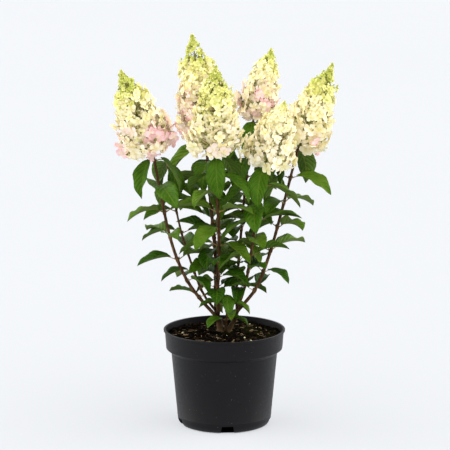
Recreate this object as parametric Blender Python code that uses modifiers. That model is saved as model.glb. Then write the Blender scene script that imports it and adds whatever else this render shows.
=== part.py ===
# A panicle hydrangea in a round nursery pot. Metres, +Z up. The origin is the centre of the pot's underside,
# and the plant's front faces -Y.
import math
import random

import bmesh
import bpy
from mathutils import Matrix, Vector
from mathutils.bvhtree import BVHTree

GAP = 0.0003

# The pot: a band with a rolled lip at the top, a tapering body and a rounded foot with notches cut up into it.
POT_HEIGHT = 0.186
POT_WALL = 0.002
POT_FLOOR = 0.003
POT_STEPS = 44
LIP_RADIUS = 0.1165
LIP_DEPTH = 0.003
LIP_ROUNDING = 0.0008
LIP_UNDERSIDE = 0.0006
BAND_TOP_RADIUS = 0.1140
BAND_FOOT_RADIUS = 0.1116
BAND_FOOT_Z = 0.1495
BODY_TOP_RADIUS = 0.1018
BODY_TOP_Z = 0.142
BODY_FOOT_RADIUS = 0.0894
BODY_FOOT_Z = 0.010
HEEL_RADIUS = 0.0848
HEEL_Z = 0.0024
FOOT_RADIUS = 0.079
NOTCH_TURNS = (-162, -86, -8, 61, 130)
NOTCH_RADIUS = 0.085
NOTCH_DEPTH = 0.019
NOTCH_WIDTH = 0.027
NOTCH_TOP_RATIO = 0.80
NOTCH_HEIGHT = 0.015

# The compost, level where the plant stands and falling a little to the wall, which it stays clear of.
SOIL_CLEARANCE = 0.0005
SOIL_TOP = 0.178
SOIL_EDGE = 0.1745
SOIL_LEVEL_RADIUS = 0.045

# The woody crown: two short trunks that lean apart from one low ridge of root, with the start of each cane in
# a fork. A trunk's radii are at its foot, waist and fork.
CROWN_SIDES = 2
FLARE = 1.25
FLARE_HEIGHT = 0.005
ROOT_SHARE = 0.45
ROOT_BEND = 0.008
ROOT_SWELLS = (1.15, 1.05, 1.0)
RIDGE_RADIUS = 0.0028
BASAL_FOOT = (0.002, 0.012)
BASAL_FOOT_RISE = 0.002
BASAL_FOOT_RADIUS = 0.0034
TRUNKS = {
    "left": {
        "foot": (-0.0082, 0.012), "waist": (-0.0092, 0.011, 0.197), "fork": (-0.0165, 0.008, 0.212),
        "radii": (0.0062, 0.0060, 0.0064),
    },
    "right": {
        "foot": (0.0096, 0.012), "waist": (0.0172, 0.010, 0.1965), "fork": (0.0235, 0.007, 0.212),
        "radii": (0.0050, 0.0046, 0.0054),
    },
}

# The canes: each runs through its route from the crown to its flower head, thickest at the foot. Its leaf
# pairs start at first and end at last before the tip, the lowest pair facing turn degrees round from +X.
ROUTE_SAMPLES = 24
CANE_STEP = 0.020
CANE_SIDES = 1
STEM_END = 0.008
CANES = {
    "left": {
        "trunk": "left", "foot_width": 0.0066, "tip_width": 0.0050,
        "turn": 15, "pairs": 7, "first": 0.036, "last": 0.016, "seed": 172, "leaf": (0.056, 0.085),
        "route": [(-0.025, -0.002, 0.221), (-0.048, -0.004, 0.248), (-0.077, -0.006, 0.293),
                  (-0.105, -0.010, 0.374), (-0.135, -0.018, 0.530)],
    },
    "right": {
        "trunk": "right", "foot_width": 0.0068, "tip_width": 0.0050,
        "turn": 45, "pairs": 7, "first": 0.044, "last": 0.016, "seed": 1703, "leaf": (0.056, 0.085),
        "route": [(0.030, -0.004, 0.227), (0.061, 0.000, 0.266), (0.086, 0.008, 0.329),
                  (0.109, 0.018, 0.410), (0.142, 0.034, 0.537)],
    },
    "front_middle": {
        "trunk": "left", "foot_width": 0.0074, "tip_width": 0.0054,
        "turn": 70, "pairs": 9, "first": 0.034, "last": 0.016, "seed": 476, "leaf": (0.058, 0.082),
        "route": [(-0.012, -0.002, 0.227), (-0.013, -0.008, 0.264), (-0.010, -0.024, 0.349),
                  (-0.013, -0.048, 0.449), (-0.018, -0.074, 0.543)],
    },
    "front_right": {
        "trunk": "right", "foot_width": 0.0058, "tip_width": 0.0046,
        "turn": 15, "pairs": 8, "first": 0.042, "last": 0.016, "seed": 119, "leaf": (0.058, 0.082),
        "route": [(0.028, 0.004, 0.232), (0.041, -0.002, 0.276), (0.053, -0.014, 0.351),
                  (0.064, -0.030, 0.432), (0.079, -0.048, 0.518)],
    },
    "rear_left": {
        "trunk": "left", "foot_width": 0.0050, "tip_width": 0.0036,
        "turn": 80, "pairs": 7, "first": 0.042, "last": 0.003, "seed": 258, "leaf": (0.056, 0.080),
        "route": [(-0.022, 0.010, 0.226), (-0.043, 0.014, 0.256), (-0.064, 0.024, 0.311),
                  (-0.086, 0.042, 0.380), (-0.108, 0.062, 0.492)],
    },
    "rear_middle": {
        "trunk": "left", "foot_width": 0.0078, "tip_width": 0.0054,
        "turn": 20, "pairs": 11, "first": 0.028, "last": 0.020, "seed": 859, "leaf": (0.060, 0.085),
        "route": [(-0.016, 0.018, 0.232), (-0.016, 0.022, 0.270), (-0.018, 0.034, 0.337),
                  (-0.027, 0.058, 0.428), (-0.035, 0.086, 0.540)],
    },
    "rear_right": {
        "trunk": "right", "foot_width": 0.0056, "tip_width": 0.0044,
        "turn": 60, "pairs": 11, "first": 0.032, "last": 0.020, "seed": 1198, "leaf": (0.058, 0.082),
        "route": [(0.024, 0.016, 0.225), (0.024, 0.022, 0.267), (0.031, 0.040, 0.351),
                  (0.039, 0.060, 0.437), (0.057, 0.088, 0.588)],
    },
}
LOWER_PAIRS = 4
PAIR_SPACING_POWER = 1.1

# A leafy shoot without a flower head stands between the two trunks.
BASAL_SHOOT = {
    "foot_width": 0.0044, "tip_width": 0.0030,
    "turn": 10, "pairs": 4, "first": 0.008, "last": 0.003, "seed": 393, "leaf": (0.038, 0.044),
    "route": [(0.003, 0.006, 0.194), (0.005, -0.003, 0.212), (0.004, -0.010, 0.232), (0.001, -0.014, 0.254)],
}

# The leaves: opposite pairs, each pair a quarter turn from the one below, hanging more towards the top.
LEAF_WIDTH_RATIO = 0.49
LEAF_THICKNESS = 0.0016
LEAF_RINGS = (0.20, 0.46, 0.75)
LEAF_RING_WIDTHS = (0.80, 1.0, 0.58)
LEAF_FOLD = math.radians(24)
LEAF_DROOP = math.radians(42)
LEAF_PITCH_FOOT = 16
LEAF_PITCH_TOP = -42
LEAF_PITCH_POWER = 3.0
LEAF_PITCH_SPREAD = 21
LEAF_TURN_SPREAD = 24
LEAF_ROLL_SPREAD = 16
LEAF_FULL_LENGTH_SHARE = 0.8
LEAF_LENGTH_SPREAD = (0.92, 1.06)
LEAF_CLEARANCE = 0.0026
PETIOLE_LENGTH = 0.015
PETIOLE_RISE = math.radians(32)
PETIOLE_RADIUS = 0.0011
PETIOLE_LEAST = 0.6
TRY_TURNS = (0, 16, -16, 32, -32, 48, -48)
TRY_PITCHES = (0, 14, -14, 28)
TRY_SIZES = (1.0, 0.85, 0.72)

# The flower heads: a cone of florets on a narrower core, budded at the tip. The shoulder is the share of the
# height over which the foot rounds in.
HEADS = {
    "left": {"peak": (-0.196, -0.034, 0.692), "radius": 0.059, "shoulder": 0.18},
    "rear_middle": {"peak": (-0.062, 0.094, 0.742), "radius": 0.050, "shoulder": 0.36},
    "front_middle": {"peak": (-0.016, -0.090, 0.709), "radius": 0.054, "shoulder": 0.20},
    "rear_right": {"peak": (0.091, 0.100, 0.713), "radius": 0.041, "shoulder": 0.26},
    "front_right": {"peak": (0.113, -0.052, 0.636), "radius": 0.050, "shoulder": 0.26},
    "right": {"peak": (0.204, 0.044, 0.693), "radius": 0.047, "shoulder": 0.26},
}
HEAD_BASE = 0.35
HEAD_TAPER = 0.94
HEAD_DROP = 0.004
HEAD_STALK = 0.010
CORE_RATIO = 0.78
CORE_RINGS = 6
CORE_SIDES = 8
CORE_TOP = 0.95
AXIS_TOP = 0.5
AXIS_TAPER = 0.6
FLORETS_PER_HEAD = 42
FIRST_FLORET = 0.1
LAST_FLORET = 0.5
FLORET_SPREAD_POWER = 0.58
FLORET_WIDTH = 0.023
FLORET_WIDTH_SPREAD = (0.9, 1.12)
FLORET_TOP_RATIO = 0.62
FLORET_INSET = 0.22
FLORET_TURN_SPREAD = 0.2
FLORET_LIFT = (-0.35, 0.75)
FLORET_LIFT_SPREAD = 0.25
FLORET_FACE_RATIO = 0.33
FLORET_POINT_RATIO = 1.25
FLORET_DEPTH = 0.008
FLORET_REACH_IN = 0.30
BUD_WIDTH = 0.009
BUD_DEPTH_RATIO = 0.8
BUD_SINK = 0.25
BUD_ZONE = 0.80
GOLDEN_ANGLE = math.radians(137.508)
HEAD_SEED = 11


def clear_scene():
    for thing in list(bpy.data.objects):
        bpy.data.objects.remove(thing, do_unlink=True)


def make_collection(name):
    collection = bpy.data.collections.new(name)
    bpy.context.scene.collection.children.link(collection)
    return collection


def make_material(name, colour, roughness):
    material = bpy.data.materials.new(name)
    material.use_nodes = True
    shader = material.node_tree.nodes["Principled BSDF"]
    shader.inputs["Base Color"].default_value = (*colour, 1)
    shader.inputs["Roughness"].default_value = roughness
    shader.inputs["Metallic"].default_value = 0
    return material


def add_object(name, mesh, collection, material=None):
    thing = bpy.data.objects.new(name, mesh)
    collection.objects.link(thing)
    if material:
        mesh.materials.append(material)
    return thing


def mesh_from(bm, name):
    bmesh.ops.recalc_face_normals(bm, faces=bm.faces)
    if bm.calc_volume(signed=True) < 0:
        bmesh.ops.reverse_faces(bm, faces=bm.faces)
    mesh = bpy.data.meshes.new(name)
    bm.to_mesh(mesh)
    bm.free()
    return mesh


def mix(low, high, share):
    return low + (high - low) * share


def turned(name, profile, steps, collection, material):
    """Turns an (r, z) profile, listed down the outer side, about the Z axis."""
    mesh = bpy.data.meshes.new(name)
    edges = [(i, i + 1) for i in range(len(profile) - 1)]
    mesh.from_pydata([(r, 0, z) for r, z in profile], edges, [])
    thing = add_object(name, mesh, collection, material)
    screw = thing.modifiers.new("turn", "SCREW")
    screw.axis = "Z"
    screw.steps = steps
    screw.render_steps = steps
    screw.use_merge_vertices = True
    screw.merge_threshold = 0.00001
    return thing


def pot_inner_radius(z):
    """Radius of the wall's inner face at a height above the foot chamfer."""
    if z >= BAND_FOOT_Z:
        share = (z - BAND_FOOT_Z) / (POT_HEIGHT - BAND_FOOT_Z)
        return mix(BAND_FOOT_RADIUS, BAND_TOP_RADIUS, share) - POT_WALL
    share = (z - BODY_FOOT_Z) / (BODY_TOP_Z - BODY_FOOT_Z)
    return mix(BODY_FOOT_RADIUS, BODY_TOP_RADIUS, share) - POT_WALL


def make_pot(collection, cutters, material):
    shoulder_z = BAND_FOOT_Z + POT_WALL / 2
    profile = [
        (0, POT_FLOOR),
        (HEEL_RADIUS - POT_WALL, POT_FLOOR),
        (BODY_FOOT_RADIUS - POT_WALL, BODY_FOOT_Z + POT_WALL / 2),
        (BODY_TOP_RADIUS - POT_WALL, BODY_TOP_Z + POT_WALL / 2),
        (BAND_FOOT_RADIUS - POT_WALL, shoulder_z),
        (BAND_TOP_RADIUS - POT_WALL, POT_HEIGHT),
        (LIP_RADIUS - LIP_ROUNDING, POT_HEIGHT),
        (LIP_RADIUS, POT_HEIGHT - LIP_ROUNDING),
        (LIP_RADIUS, POT_HEIGHT - LIP_DEPTH),
        (BAND_TOP_RADIUS, POT_HEIGHT - LIP_DEPTH - LIP_UNDERSIDE),
        (BAND_FOOT_RADIUS, BAND_FOOT_Z),
        (BODY_TOP_RADIUS, BODY_TOP_Z),
        (BODY_FOOT_RADIUS, BODY_FOOT_Z),
        (HEEL_RADIUS, HEEL_Z),
        (FOOT_RADIUS, 0),
        (0, 0),
    ]
    pot = turned("pot", profile, POT_STEPS, collection, material)
    for index, turn in enumerate(NOTCH_TURNS):
        angle = math.radians(turn)
        bm = bmesh.new()
        bmesh.ops.create_cube(bm, size=1)
        for vert in bm.verts:
            at_top = vert.co.z > 0
            vert.co.x *= NOTCH_DEPTH
            vert.co.y *= NOTCH_WIDTH * (NOTCH_TOP_RATIO if at_top else 1)
            vert.co.z = NOTCH_HEIGHT if at_top else -POT_WALL
        cutter = add_object(f"notch_{index + 1}", mesh_from(bm, "notch"), cutters)
        cutter.location = (math.cos(angle) * NOTCH_RADIUS, math.sin(angle) * NOTCH_RADIUS, 0)
        cutter.rotation_euler.z = angle
        cutter.hide_render = True
        cutter.display_type = "WIRE"
        cut = pot.modifiers.new(cutter.name, "BOOLEAN")
        cut.operation = "DIFFERENCE"
        cut.object = cutter
    return pot


def make_soil(collection, material):
    inset = SOIL_CLEARANCE
    profile = [
        (0, SOIL_TOP),
        (SOIL_LEVEL_RADIUS, SOIL_TOP),
        (pot_inner_radius(SOIL_EDGE) - inset, SOIL_EDGE),
        (pot_inner_radius(BAND_FOOT_Z + POT_WALL) - inset, BAND_FOOT_Z + POT_WALL),
        (BODY_TOP_RADIUS - POT_WALL - inset, BODY_TOP_Z + POT_WALL),
        (BODY_FOOT_RADIUS - POT_WALL - inset, BODY_FOOT_Z + POT_WALL),
        (HEEL_RADIUS - POT_WALL - inset * 2, POT_FLOOR + GAP),
        (0, POT_FLOOR + GAP),
    ]
    return turned("soil", profile, POT_STEPS, collection, material)


def smooth_route(points, step):
    """Even steps along the Catmull-Rom curve through the points."""
    ends = [points[0] * 2 - points[1]] + points + [points[-1] * 2 - points[-2]]
    fine = []
    for a, b, c, d in zip(ends, ends[1:], ends[2:], ends[3:]):
        for index in range(ROUTE_SAMPLES):
            t = index / ROUTE_SAMPLES
            fine.append(
                (b * 2 + (c - a) * t + (a * 2 - b * 5 + c * 4 - d) * t * t
                 + (b * 3 - a - c * 3 + d) * t * t * t) * 0.5
            )
    fine.append(points[-1].copy())
    length = sum((b - a).length for a, b in zip(fine, fine[1:]))
    count = max(2, round(length / step))
    even = [fine[0]]
    travelled = 0.0
    for a, b in zip(fine, fine[1:]):
        piece = (b - a).length
        while len(even) < count and travelled + piece >= length * len(even) / count:
            share = (length * len(even) / count - travelled) / piece
            even.append(a.lerp(b, share))
        travelled += piece
    even.append(fine[-1])
    return even


class Cane:
    """One cane: its route in even steps, its width along it, and the places of its leaf pairs."""

    def __init__(self, name, plan):
        self.name = name
        self.plan = plan
        self.points = smooth_route([Vector(p) for p in plan["route"]], CANE_STEP)
        self.step = sum((b - a).length for a, b in zip(self.points, self.points[1:])) / (len(self.points) - 1)
        self.length = self.step * (len(self.points) - 1)

    def at(self, distance):
        place = min(max(distance / self.step, 0), len(self.points) - 1.000001)
        index = int(place)
        return self.points[index].lerp(self.points[index + 1], place - index)

    def heading(self, distance):
        index = min(int(max(distance / self.step, 0)), len(self.points) - 2)
        return (self.points[index + 1] - self.points[index]).normalized()

    def radius(self, distance):
        return mix(self.plan["foot_width"], self.plan["tip_width"], distance / self.length) / 2

    def section(self, start, end):
        """Points and radii between two distances."""
        inner = [i * self.step for i in range(len(self.points))]
        stops = [start] + [d for d in inner if start + 0.002 < d < end - 0.002] + [end]
        return [self.at(d) for d in stops], [self.radius(d) for d in stops]

    def pairs(self):
        """Distance, share of the way up and facing, in degrees, of each leaf pair."""
        count = self.plan["pairs"]
        last = self.length - self.plan["last"]
        shares = [k / (count - 1) for k in range(count)]
        return [
            (mix(self.plan["first"], last, share ** PAIR_SPACING_POWER), share, self.plan["turn"] + 90 * k)
            for k, share in enumerate(shares)
        ]


def tube_mesh(points, radii, resolution):
    """A tapering limb: a curve with filled caps, made a mesh."""
    curve = bpy.data.curves.new("limb", "CURVE")
    curve.dimensions = "3D"
    curve.bevel_depth = 1.0
    curve.bevel_resolution = resolution
    curve.use_fill_caps = True
    spline = curve.splines.new("POLY")
    spline.points.add(len(points) - 1)
    for point, place, radius in zip(spline.points, points, radii):
        point.co = (*place, 1)
        point.radius = radius
    limb = bpy.data.objects.new("limb", curve)
    bpy.context.scene.collection.objects.link(limb)
    graph = bpy.context.evaluated_depsgraph_get()
    mesh = bpy.data.meshes.new_from_object(limb.evaluated_get(graph))
    bpy.data.objects.remove(limb, do_unlink=True)
    bm = bmesh.new()
    bm.from_mesh(mesh)
    bmesh.ops.remove_doubles(bm, verts=bm.verts, dist=0.00001)
    return mesh_from(bm, "limb")


def outer_shell(mesh):
    """Keeps the largest connected shell, so that a sealed hollow is filled and a loose scrap dropped."""
    bm = bmesh.new()
    bm.from_mesh(mesh)
    left = set(bm.verts)
    shells = []
    while left:
        shell = set()
        front = [left.pop()]
        while front:
            vert = front.pop()
            shell.add(vert)
            near = [edge.other_vert(vert) for edge in vert.link_edges]
            fresh = [other for other in near if other in left]
            left.difference_update(fresh)
            front.extend(fresh)
        shells.append(shell)
    shells.sort(key=len, reverse=True)
    bmesh.ops.delete(bm, geom=[vert for shell in shells[1:] for vert in shell], context="VERTS")
    bm.to_mesh(mesh)
    bm.free()


def join_all(name, meshes, collection, material):
    """One closed solid from the union of the meshes, the first of which is the base."""
    pieces = make_collection(f"{name}_pieces")
    for index, mesh in enumerate(meshes[1:]):
        add_object(f"{name}_piece_{index}", mesh, pieces)
    thing = add_object(name, meshes[0], collection, material)
    union = thing.modifiers.new("union", "BOOLEAN")
    union.operation = "UNION"
    union.operand_type = "COLLECTION"
    union.collection = pieces
    union.solver = "MANIFOLD"
    graph = bpy.context.evaluated_depsgraph_get()
    joined = bpy.data.meshes.new_from_object(thing.evaluated_get(graph))
    thing.modifiers.clear()
    thing.data = joined
    outer_shell(joined)
    joined.materials.clear()
    joined.materials.append(material)
    for piece in list(pieces.objects):
        bpy.data.objects.remove(piece, do_unlink=True)
    bpy.data.collections.remove(pieces)
    return thing


def blade_place(along, across, lift, length, droop):
    """A point of a blade that droops evenly along +X from its base at the origin."""
    bend = droop * along
    x = length * math.sin(bend) / droop
    z = -length * (1 - math.cos(bend)) / droop
    return Vector((x + math.sin(bend) * lift, across, z + math.cos(bend) * lift))


def leaf_bmesh(length, width, thickness, frame, node, stalk_radius):
    """A folded, drooping blade in its frame, drawn out into a stalk that ends inside the cane at the node."""
    bm = bmesh.new()
    bmesh.ops.create_uvsphere(bm, u_segments=4, v_segments=len(LEAF_RINGS) + 3, radius=1)
    base = frame.translation
    run = (base - node).normalized()
    side_axis = frame.to_3x3() @ Vector((0, 1, 0))
    up_axis = run.cross(side_axis).normalized()
    for vert in bm.verts:
        ring = round(math.acos(max(-1, min(1, vert.co.z))) / (math.pi / (len(LEAF_RINGS) + 3)))
        side = round(vert.co.x / max(abs(vert.co.x), abs(vert.co.y), 0.0001))
        face = round(vert.co.y / max(abs(vert.co.x), abs(vert.co.y), 0.0001))
        if ring < 3:
            centre = (node - run * stalk_radius, node, base)[ring]
            reach = stalk_radius if ring else 0
            vert.co = centre + (side_axis * side + up_axis * face) * reach
        elif ring < len(LEAF_RINGS) + 3:
            half = width / 2 * LEAF_RING_WIDTHS[ring - 3]
            lift = face * thickness / 2 + abs(side) * half * math.sin(LEAF_FOLD)
            across = side * half * math.cos(LEAF_FOLD)
            vert.co = frame @ blade_place(LEAF_RINGS[ring - 3], across, lift, length, LEAF_DROOP)
        else:
            vert.co = frame @ blade_place(1, 0, 0, length, LEAF_DROOP)
    return bm


def leaf_frame(origin, azimuth, pitch, roll):
    """Axes of a blade that starts at origin, heads off at an azimuth and is pitched up from level."""
    turn = Matrix.Rotation(azimuth, 4, "Z") @ Matrix.Rotation(-pitch, 4, "Y") @ Matrix.Rotation(roll, 4, "X")
    return Matrix.Translation(origin) @ turn


def tree_of(bm):
    tree = BVHTree.FromBMesh(bm)
    bm.free()
    return tree


def touches(tree, others):
    return any(tree.overlap(other) for other in others)


def grow_leaf(node, azimuth, pitch, roll, length, way, blocked):
    """The leaf at the first of its tries that keeps clear, or nothing."""
    for size in TRY_SIZES:
        for pitch_change in TRY_PITCHES:
            for turn_change in TRY_TURNS:
                angle = azimuth + math.radians(turn_change * way)
                out = Vector((math.cos(angle), math.sin(angle), 0))
                rise = Vector((0, 0, math.sin(PETIOLE_RISE)))
                stalk = (out * math.cos(PETIOLE_RISE) + rise) * PETIOLE_LENGTH
                blade = length * size
                width = blade * LEAF_WIDTH_RATIO
                base = node + stalk * mix(PETIOLE_LEAST, 1, size)
                frame = leaf_frame(base, angle, pitch + math.radians(pitch_change), roll)
                swept = leaf_bmesh(
                    blade + LEAF_CLEARANCE, width + LEAF_CLEARANCE * 2, LEAF_THICKNESS + LEAF_CLEARANCE * 2,
                    frame, node + stalk * 0.5, PETIOLE_RADIUS + LEAF_CLEARANCE / 2,
                )
                if not touches(tree_of(swept), blocked):
                    return leaf_bmesh(blade, width, LEAF_THICKNESS, frame, node, PETIOLE_RADIUS)
    return None


def grow_leaves(cane, limbs, leaf_trees):
    """The cane's leaves as one list for each pair; each leaf that finds its place blocks the later ones."""
    chance = random.Random(cane.plan["seed"])
    grown = []
    for distance, share, turn in cane.pairs():
        pair = []
        for side in (0, 180):
            azimuth = math.radians(turn + side + chance.uniform(-1, 1) * LEAF_TURN_SPREAD)
            hang = mix(LEAF_PITCH_FOOT, LEAF_PITCH_TOP, share ** LEAF_PITCH_POWER)
            pitch = math.radians(hang + chance.uniform(-1, 1) * LEAF_PITCH_SPREAD)
            roll = math.radians(chance.uniform(-1, 1) * LEAF_ROLL_SPREAD)
            rise = math.sin(math.pi / 2 * min(share / LEAF_FULL_LENGTH_SHARE, 1))
            length = mix(*cane.plan["leaf"], rise) * chance.uniform(*LEAF_LENGTH_SPREAD)
            way = chance.choice((-1, 1))
            leaf = grow_leaf(cane.at(distance), azimuth, pitch, roll, length, way, limbs + leaf_trees)
            if leaf:
                leaf_trees.append(BVHTree.FromBMesh(leaf))
                pair.append(leaf)
        grown.append(pair)
    return grown


def head_radius(head, share):
    """Radius of a flower head at a share of its height: rounded foot, then a cone that eases to its tip."""
    down = 1 - share
    neck = 1 - head["shoulder"]
    if down > neck:
        drop = (down - neck) / head["shoulder"]
        return head["radius"] * mix(HEAD_BASE, 1, math.sqrt(max(0, 1 - drop * drop)))
    return head["radius"] * math.sin(math.pi / 2 * (down / neck) ** HEAD_TAPER)


def head_frame(name, cane):
    """Origin at the head's foot and +Z along its axis to the peak."""
    peak = Vector(HEADS[name]["peak"])
    foot = cane.points[-1]
    axis = (peak - foot).normalized()
    origin = foot - axis * HEAD_DROP
    height = (peak - origin).length
    return Matrix.Translation(origin) @ axis.to_track_quat("Z", "Y").to_matrix().to_4x4(), height


def core_bmesh(head, frame, height):
    """The closed core that the florets stand out of."""
    bm = bmesh.new()
    bmesh.ops.create_uvsphere(bm, u_segments=CORE_SIDES, v_segments=CORE_RINGS, radius=1)
    for vert in bm.verts:
        share = 1 - math.acos(max(-1, min(1, vert.co.z))) / math.pi
        around = Vector((vert.co.x, vert.co.y, 0))
        radius = head_radius(head, share) * CORE_RATIO if around.length > 0.001 else 0
        vert.co = around.normalized() * radius + Vector((0, 0, share * height * CORE_TOP))
    bm.transform(frame)
    return bm


def floret_bmesh(frame, width, depth):
    """A four-sepalled floret: a flattened octahedron with its point towards the core."""
    bm = bmesh.new()
    bmesh.ops.create_uvsphere(bm, u_segments=4, v_segments=2, radius=1)
    for vert in bm.verts:
        stretch = FLORET_FACE_RATIO if vert.co.z > 0 else FLORET_POINT_RATIO
        vert.co = Vector((vert.co.x * width / 2, vert.co.y * width / 2, vert.co.z * depth * stretch))
    bm.transform(frame)
    return bm


def make_head(name, cane, collection, material):
    head = HEADS[name]
    frame, height = head_frame(name, cane)
    chance = random.Random(HEAD_SEED + len(name))
    points, radii = cane.section(cane.length - HEAD_STALK + GAP, cane.length)
    middle = frame @ Vector((0, 0, height * AXIS_TOP))
    meshes = [
        mesh_from(core_bmesh(head, frame, height), "core"),
        tube_mesh(points + [middle], radii + [radii[-1] * AXIS_TAPER], CANE_SIDES),
    ]
    for index in range(FLORETS_PER_HEAD):
        share = 1 - ((index + FIRST_FLORET) / (FLORETS_PER_HEAD - LAST_FLORET)) ** FLORET_SPREAD_POWER
        budded = share > BUD_ZONE
        width = BUD_WIDTH if budded else FLORET_WIDTH * mix(1.0, FLORET_TOP_RATIO, share)
        width *= chance.uniform(*FLORET_WIDTH_SPREAD)
        angle = index * GOLDEN_ANGLE + chance.uniform(-1, 1) * FLORET_TURN_SPREAD
        radius = head_radius(head, share)
        reach = max(radius - width * FLORET_INSET, GAP)
        outward = Vector((math.cos(angle), math.sin(angle), 0))
        lift = mix(*FLORET_LIFT, share) + chance.uniform(-1, 1) * FLORET_LIFT_SPREAD
        facing = (outward + Vector((0, 0, lift))).normalized()
        turn = facing.to_track_quat("Z", "Y").to_matrix().to_4x4()
        sink = width * BUD_SINK if budded else 0
        place = Matrix.Translation(outward * reach + Vector((0, 0, share * height - sink)))
        spin = Matrix.Rotation(chance.uniform(0, math.pi), 4, "Z")
        depth = radius * FLORET_REACH_IN + FLORET_DEPTH * (BUD_DEPTH_RATIO if budded else 1.0)
        meshes.append(mesh_from(floret_bmesh(frame @ place @ turn @ spin, width, depth), "floret"))
    return join_all(f"{name}_flower_head", meshes, collection, material)


def make_crown(canes, basal, collection, material):
    """The two trunks on their ridge of root, and the short start of each cane out of its fork."""
    ground = SOIL_TOP + GAP
    feet = [Vector((*trunk["foot"], ground)) for trunk in TRUNKS.values()]
    ridge = [foot + Vector((0, 0, RIDGE_RADIUS)) for foot in feet]
    meshes = [tube_mesh(ridge, [RIDGE_RADIUS] * len(ridge), CROWN_SIDES)]
    for foot, trunk in zip(feet, TRUNKS.values()):
        points = [foot, foot + Vector((0, 0, FLARE_HEIGHT)), Vector(trunk["waist"]), Vector(trunk["fork"])]
        radii = [trunk["radii"][0] * FLARE, *trunk["radii"]]
        meshes.append(tube_mesh(points, radii, CROWN_SIDES))
    for cane in canes:
        trunk = TRUNKS[cane.plan["trunk"]]
        start = Vector(trunk["fork"]).lerp(Vector(trunk["waist"]), ROOT_SHARE)
        tip = cane.points[0] - cane.heading(0) * GAP
        bend = tip - cane.heading(0) * ROOT_BEND
        radii = [cane.radius(0) * swell for swell in ROOT_SWELLS]
        meshes.append(tube_mesh([start, bend, tip], radii, CANE_SIDES))
    foot = Vector((*BASAL_FOOT, ground + BASAL_FOOT_RISE))
    tip = basal.points[0] - basal.heading(0) * GAP
    meshes.append(tube_mesh([foot, tip], [BASAL_FOOT_RADIUS, basal.radius(0)], CANE_SIDES))
    return join_all("woody_crown", meshes, collection, material)


def make_leafy_part(name, cane, start, end, pairs, collection, material):
    """A stretch of cane between two distances, with its leaf pairs fused on."""
    points, radii = cane.section(start, end)
    leaves = [mesh_from(leaf, "leaf") for pair in pairs for leaf in pair]
    return join_all(name, [tube_mesh(points, radii, CANE_SIDES)] + leaves, collection, material)


def cane_tree(cane):
    points, radii = cane.section(0, cane.length)
    mesh = tube_mesh(points, radii, CANE_SIDES)
    bm = bmesh.new()
    bm.from_mesh(mesh)
    bpy.data.meshes.remove(mesh)
    return tree_of(bm)


def make_cane(cane, pairs, collection, bark, green):
    """The bare bough, then the lower and the upper stretch of leaves, end to end."""
    distances = [distance for distance, share, turn in cane.pairs()]
    bare = distances[0] - STEM_END
    split = (distances[LOWER_PAIRS - 1] + distances[LOWER_PAIRS]) / 2
    top = cane.length - (HEAD_STALK if cane.name in HEADS else 0)
    points, radii = cane.section(0, bare)
    add_object(f"{cane.name}_stem", tube_mesh(points, radii, CANE_SIDES), collection, bark)
    lower, upper = pairs[:LOWER_PAIRS], pairs[LOWER_PAIRS:]
    make_leafy_part(f"{cane.name}_lower_leaves", cane, bare + GAP, split, lower, collection, green)
    make_leafy_part(f"{cane.name}_upper_leaves", cane, split + GAP, top, upper, collection, green)


def main():
    clear_scene()
    plant = make_collection("potted_hydrangea")
    cutters = make_collection("cutters")
    plastic = make_material("black_plastic", (0.012, 0.012, 0.013), 0.45)
    compost = make_material("compost", (0.030, 0.018, 0.010), 0.95)
    bark = make_material("brown_bark", (0.085, 0.035, 0.018), 0.75)
    green = make_material("leaf_green", (0.045, 0.130, 0.018), 0.45)
    petals = make_material("cream_florets", (0.80, 0.72, 0.46), 0.60)

    make_pot(plant, cutters, plastic)
    make_soil(plant, compost)
    canes = [Cane(name, plan) for name, plan in CANES.items()]
    basal = Cane("basal", BASAL_SHOOT)
    crown = make_crown(canes, basal, plant, bark)
    heads = [make_head(cane.name, cane, plant, petals) for cane in canes if cane.name in HEADS]

    graph = bpy.context.evaluated_depsgraph_get()
    limbs = [cane_tree(cane) for cane in canes + [basal]]
    limbs += [BVHTree.FromObject(thing, graph) for thing in heads + [crown]]
    leaf_trees = []
    for cane in canes:
        make_cane(cane, grow_leaves(cane, limbs, leaf_trees), plant, bark, green)
    basal_pairs = grow_leaves(basal, limbs, leaf_trees)
    make_leafy_part("basal_leaves", basal, 0, basal.length, basal_pairs, plant, green)


if __name__ == "__main__":
    main()
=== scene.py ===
import bmesh
import bpy
import math
import random
from mathutils import Matrix, Vector, noise
from mathutils.bvhtree import BVHTree


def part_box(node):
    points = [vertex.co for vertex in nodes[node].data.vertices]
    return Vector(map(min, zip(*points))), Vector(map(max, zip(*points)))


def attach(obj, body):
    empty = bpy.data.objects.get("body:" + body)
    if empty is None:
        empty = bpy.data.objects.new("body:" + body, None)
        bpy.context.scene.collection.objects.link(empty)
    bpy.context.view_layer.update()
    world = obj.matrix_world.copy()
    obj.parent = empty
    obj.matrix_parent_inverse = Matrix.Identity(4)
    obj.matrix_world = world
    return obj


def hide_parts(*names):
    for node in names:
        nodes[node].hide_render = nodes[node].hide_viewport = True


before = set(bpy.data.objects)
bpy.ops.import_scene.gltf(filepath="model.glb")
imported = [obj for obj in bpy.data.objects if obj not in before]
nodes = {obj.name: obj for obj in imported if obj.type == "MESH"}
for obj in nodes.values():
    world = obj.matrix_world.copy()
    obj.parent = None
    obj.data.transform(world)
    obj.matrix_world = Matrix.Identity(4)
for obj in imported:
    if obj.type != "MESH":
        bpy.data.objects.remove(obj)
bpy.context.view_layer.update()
print("frame loaded with", len(nodes), "nodes")

goldenAngle = math.radians(137.508)


# Small tools

def mix(low, high, share):
    return low + (high - low) * share


def around(angle, radius=1.0, height=0.0):
    return Vector((math.cos(angle) * radius, math.sin(angle) * radius, height))


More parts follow.
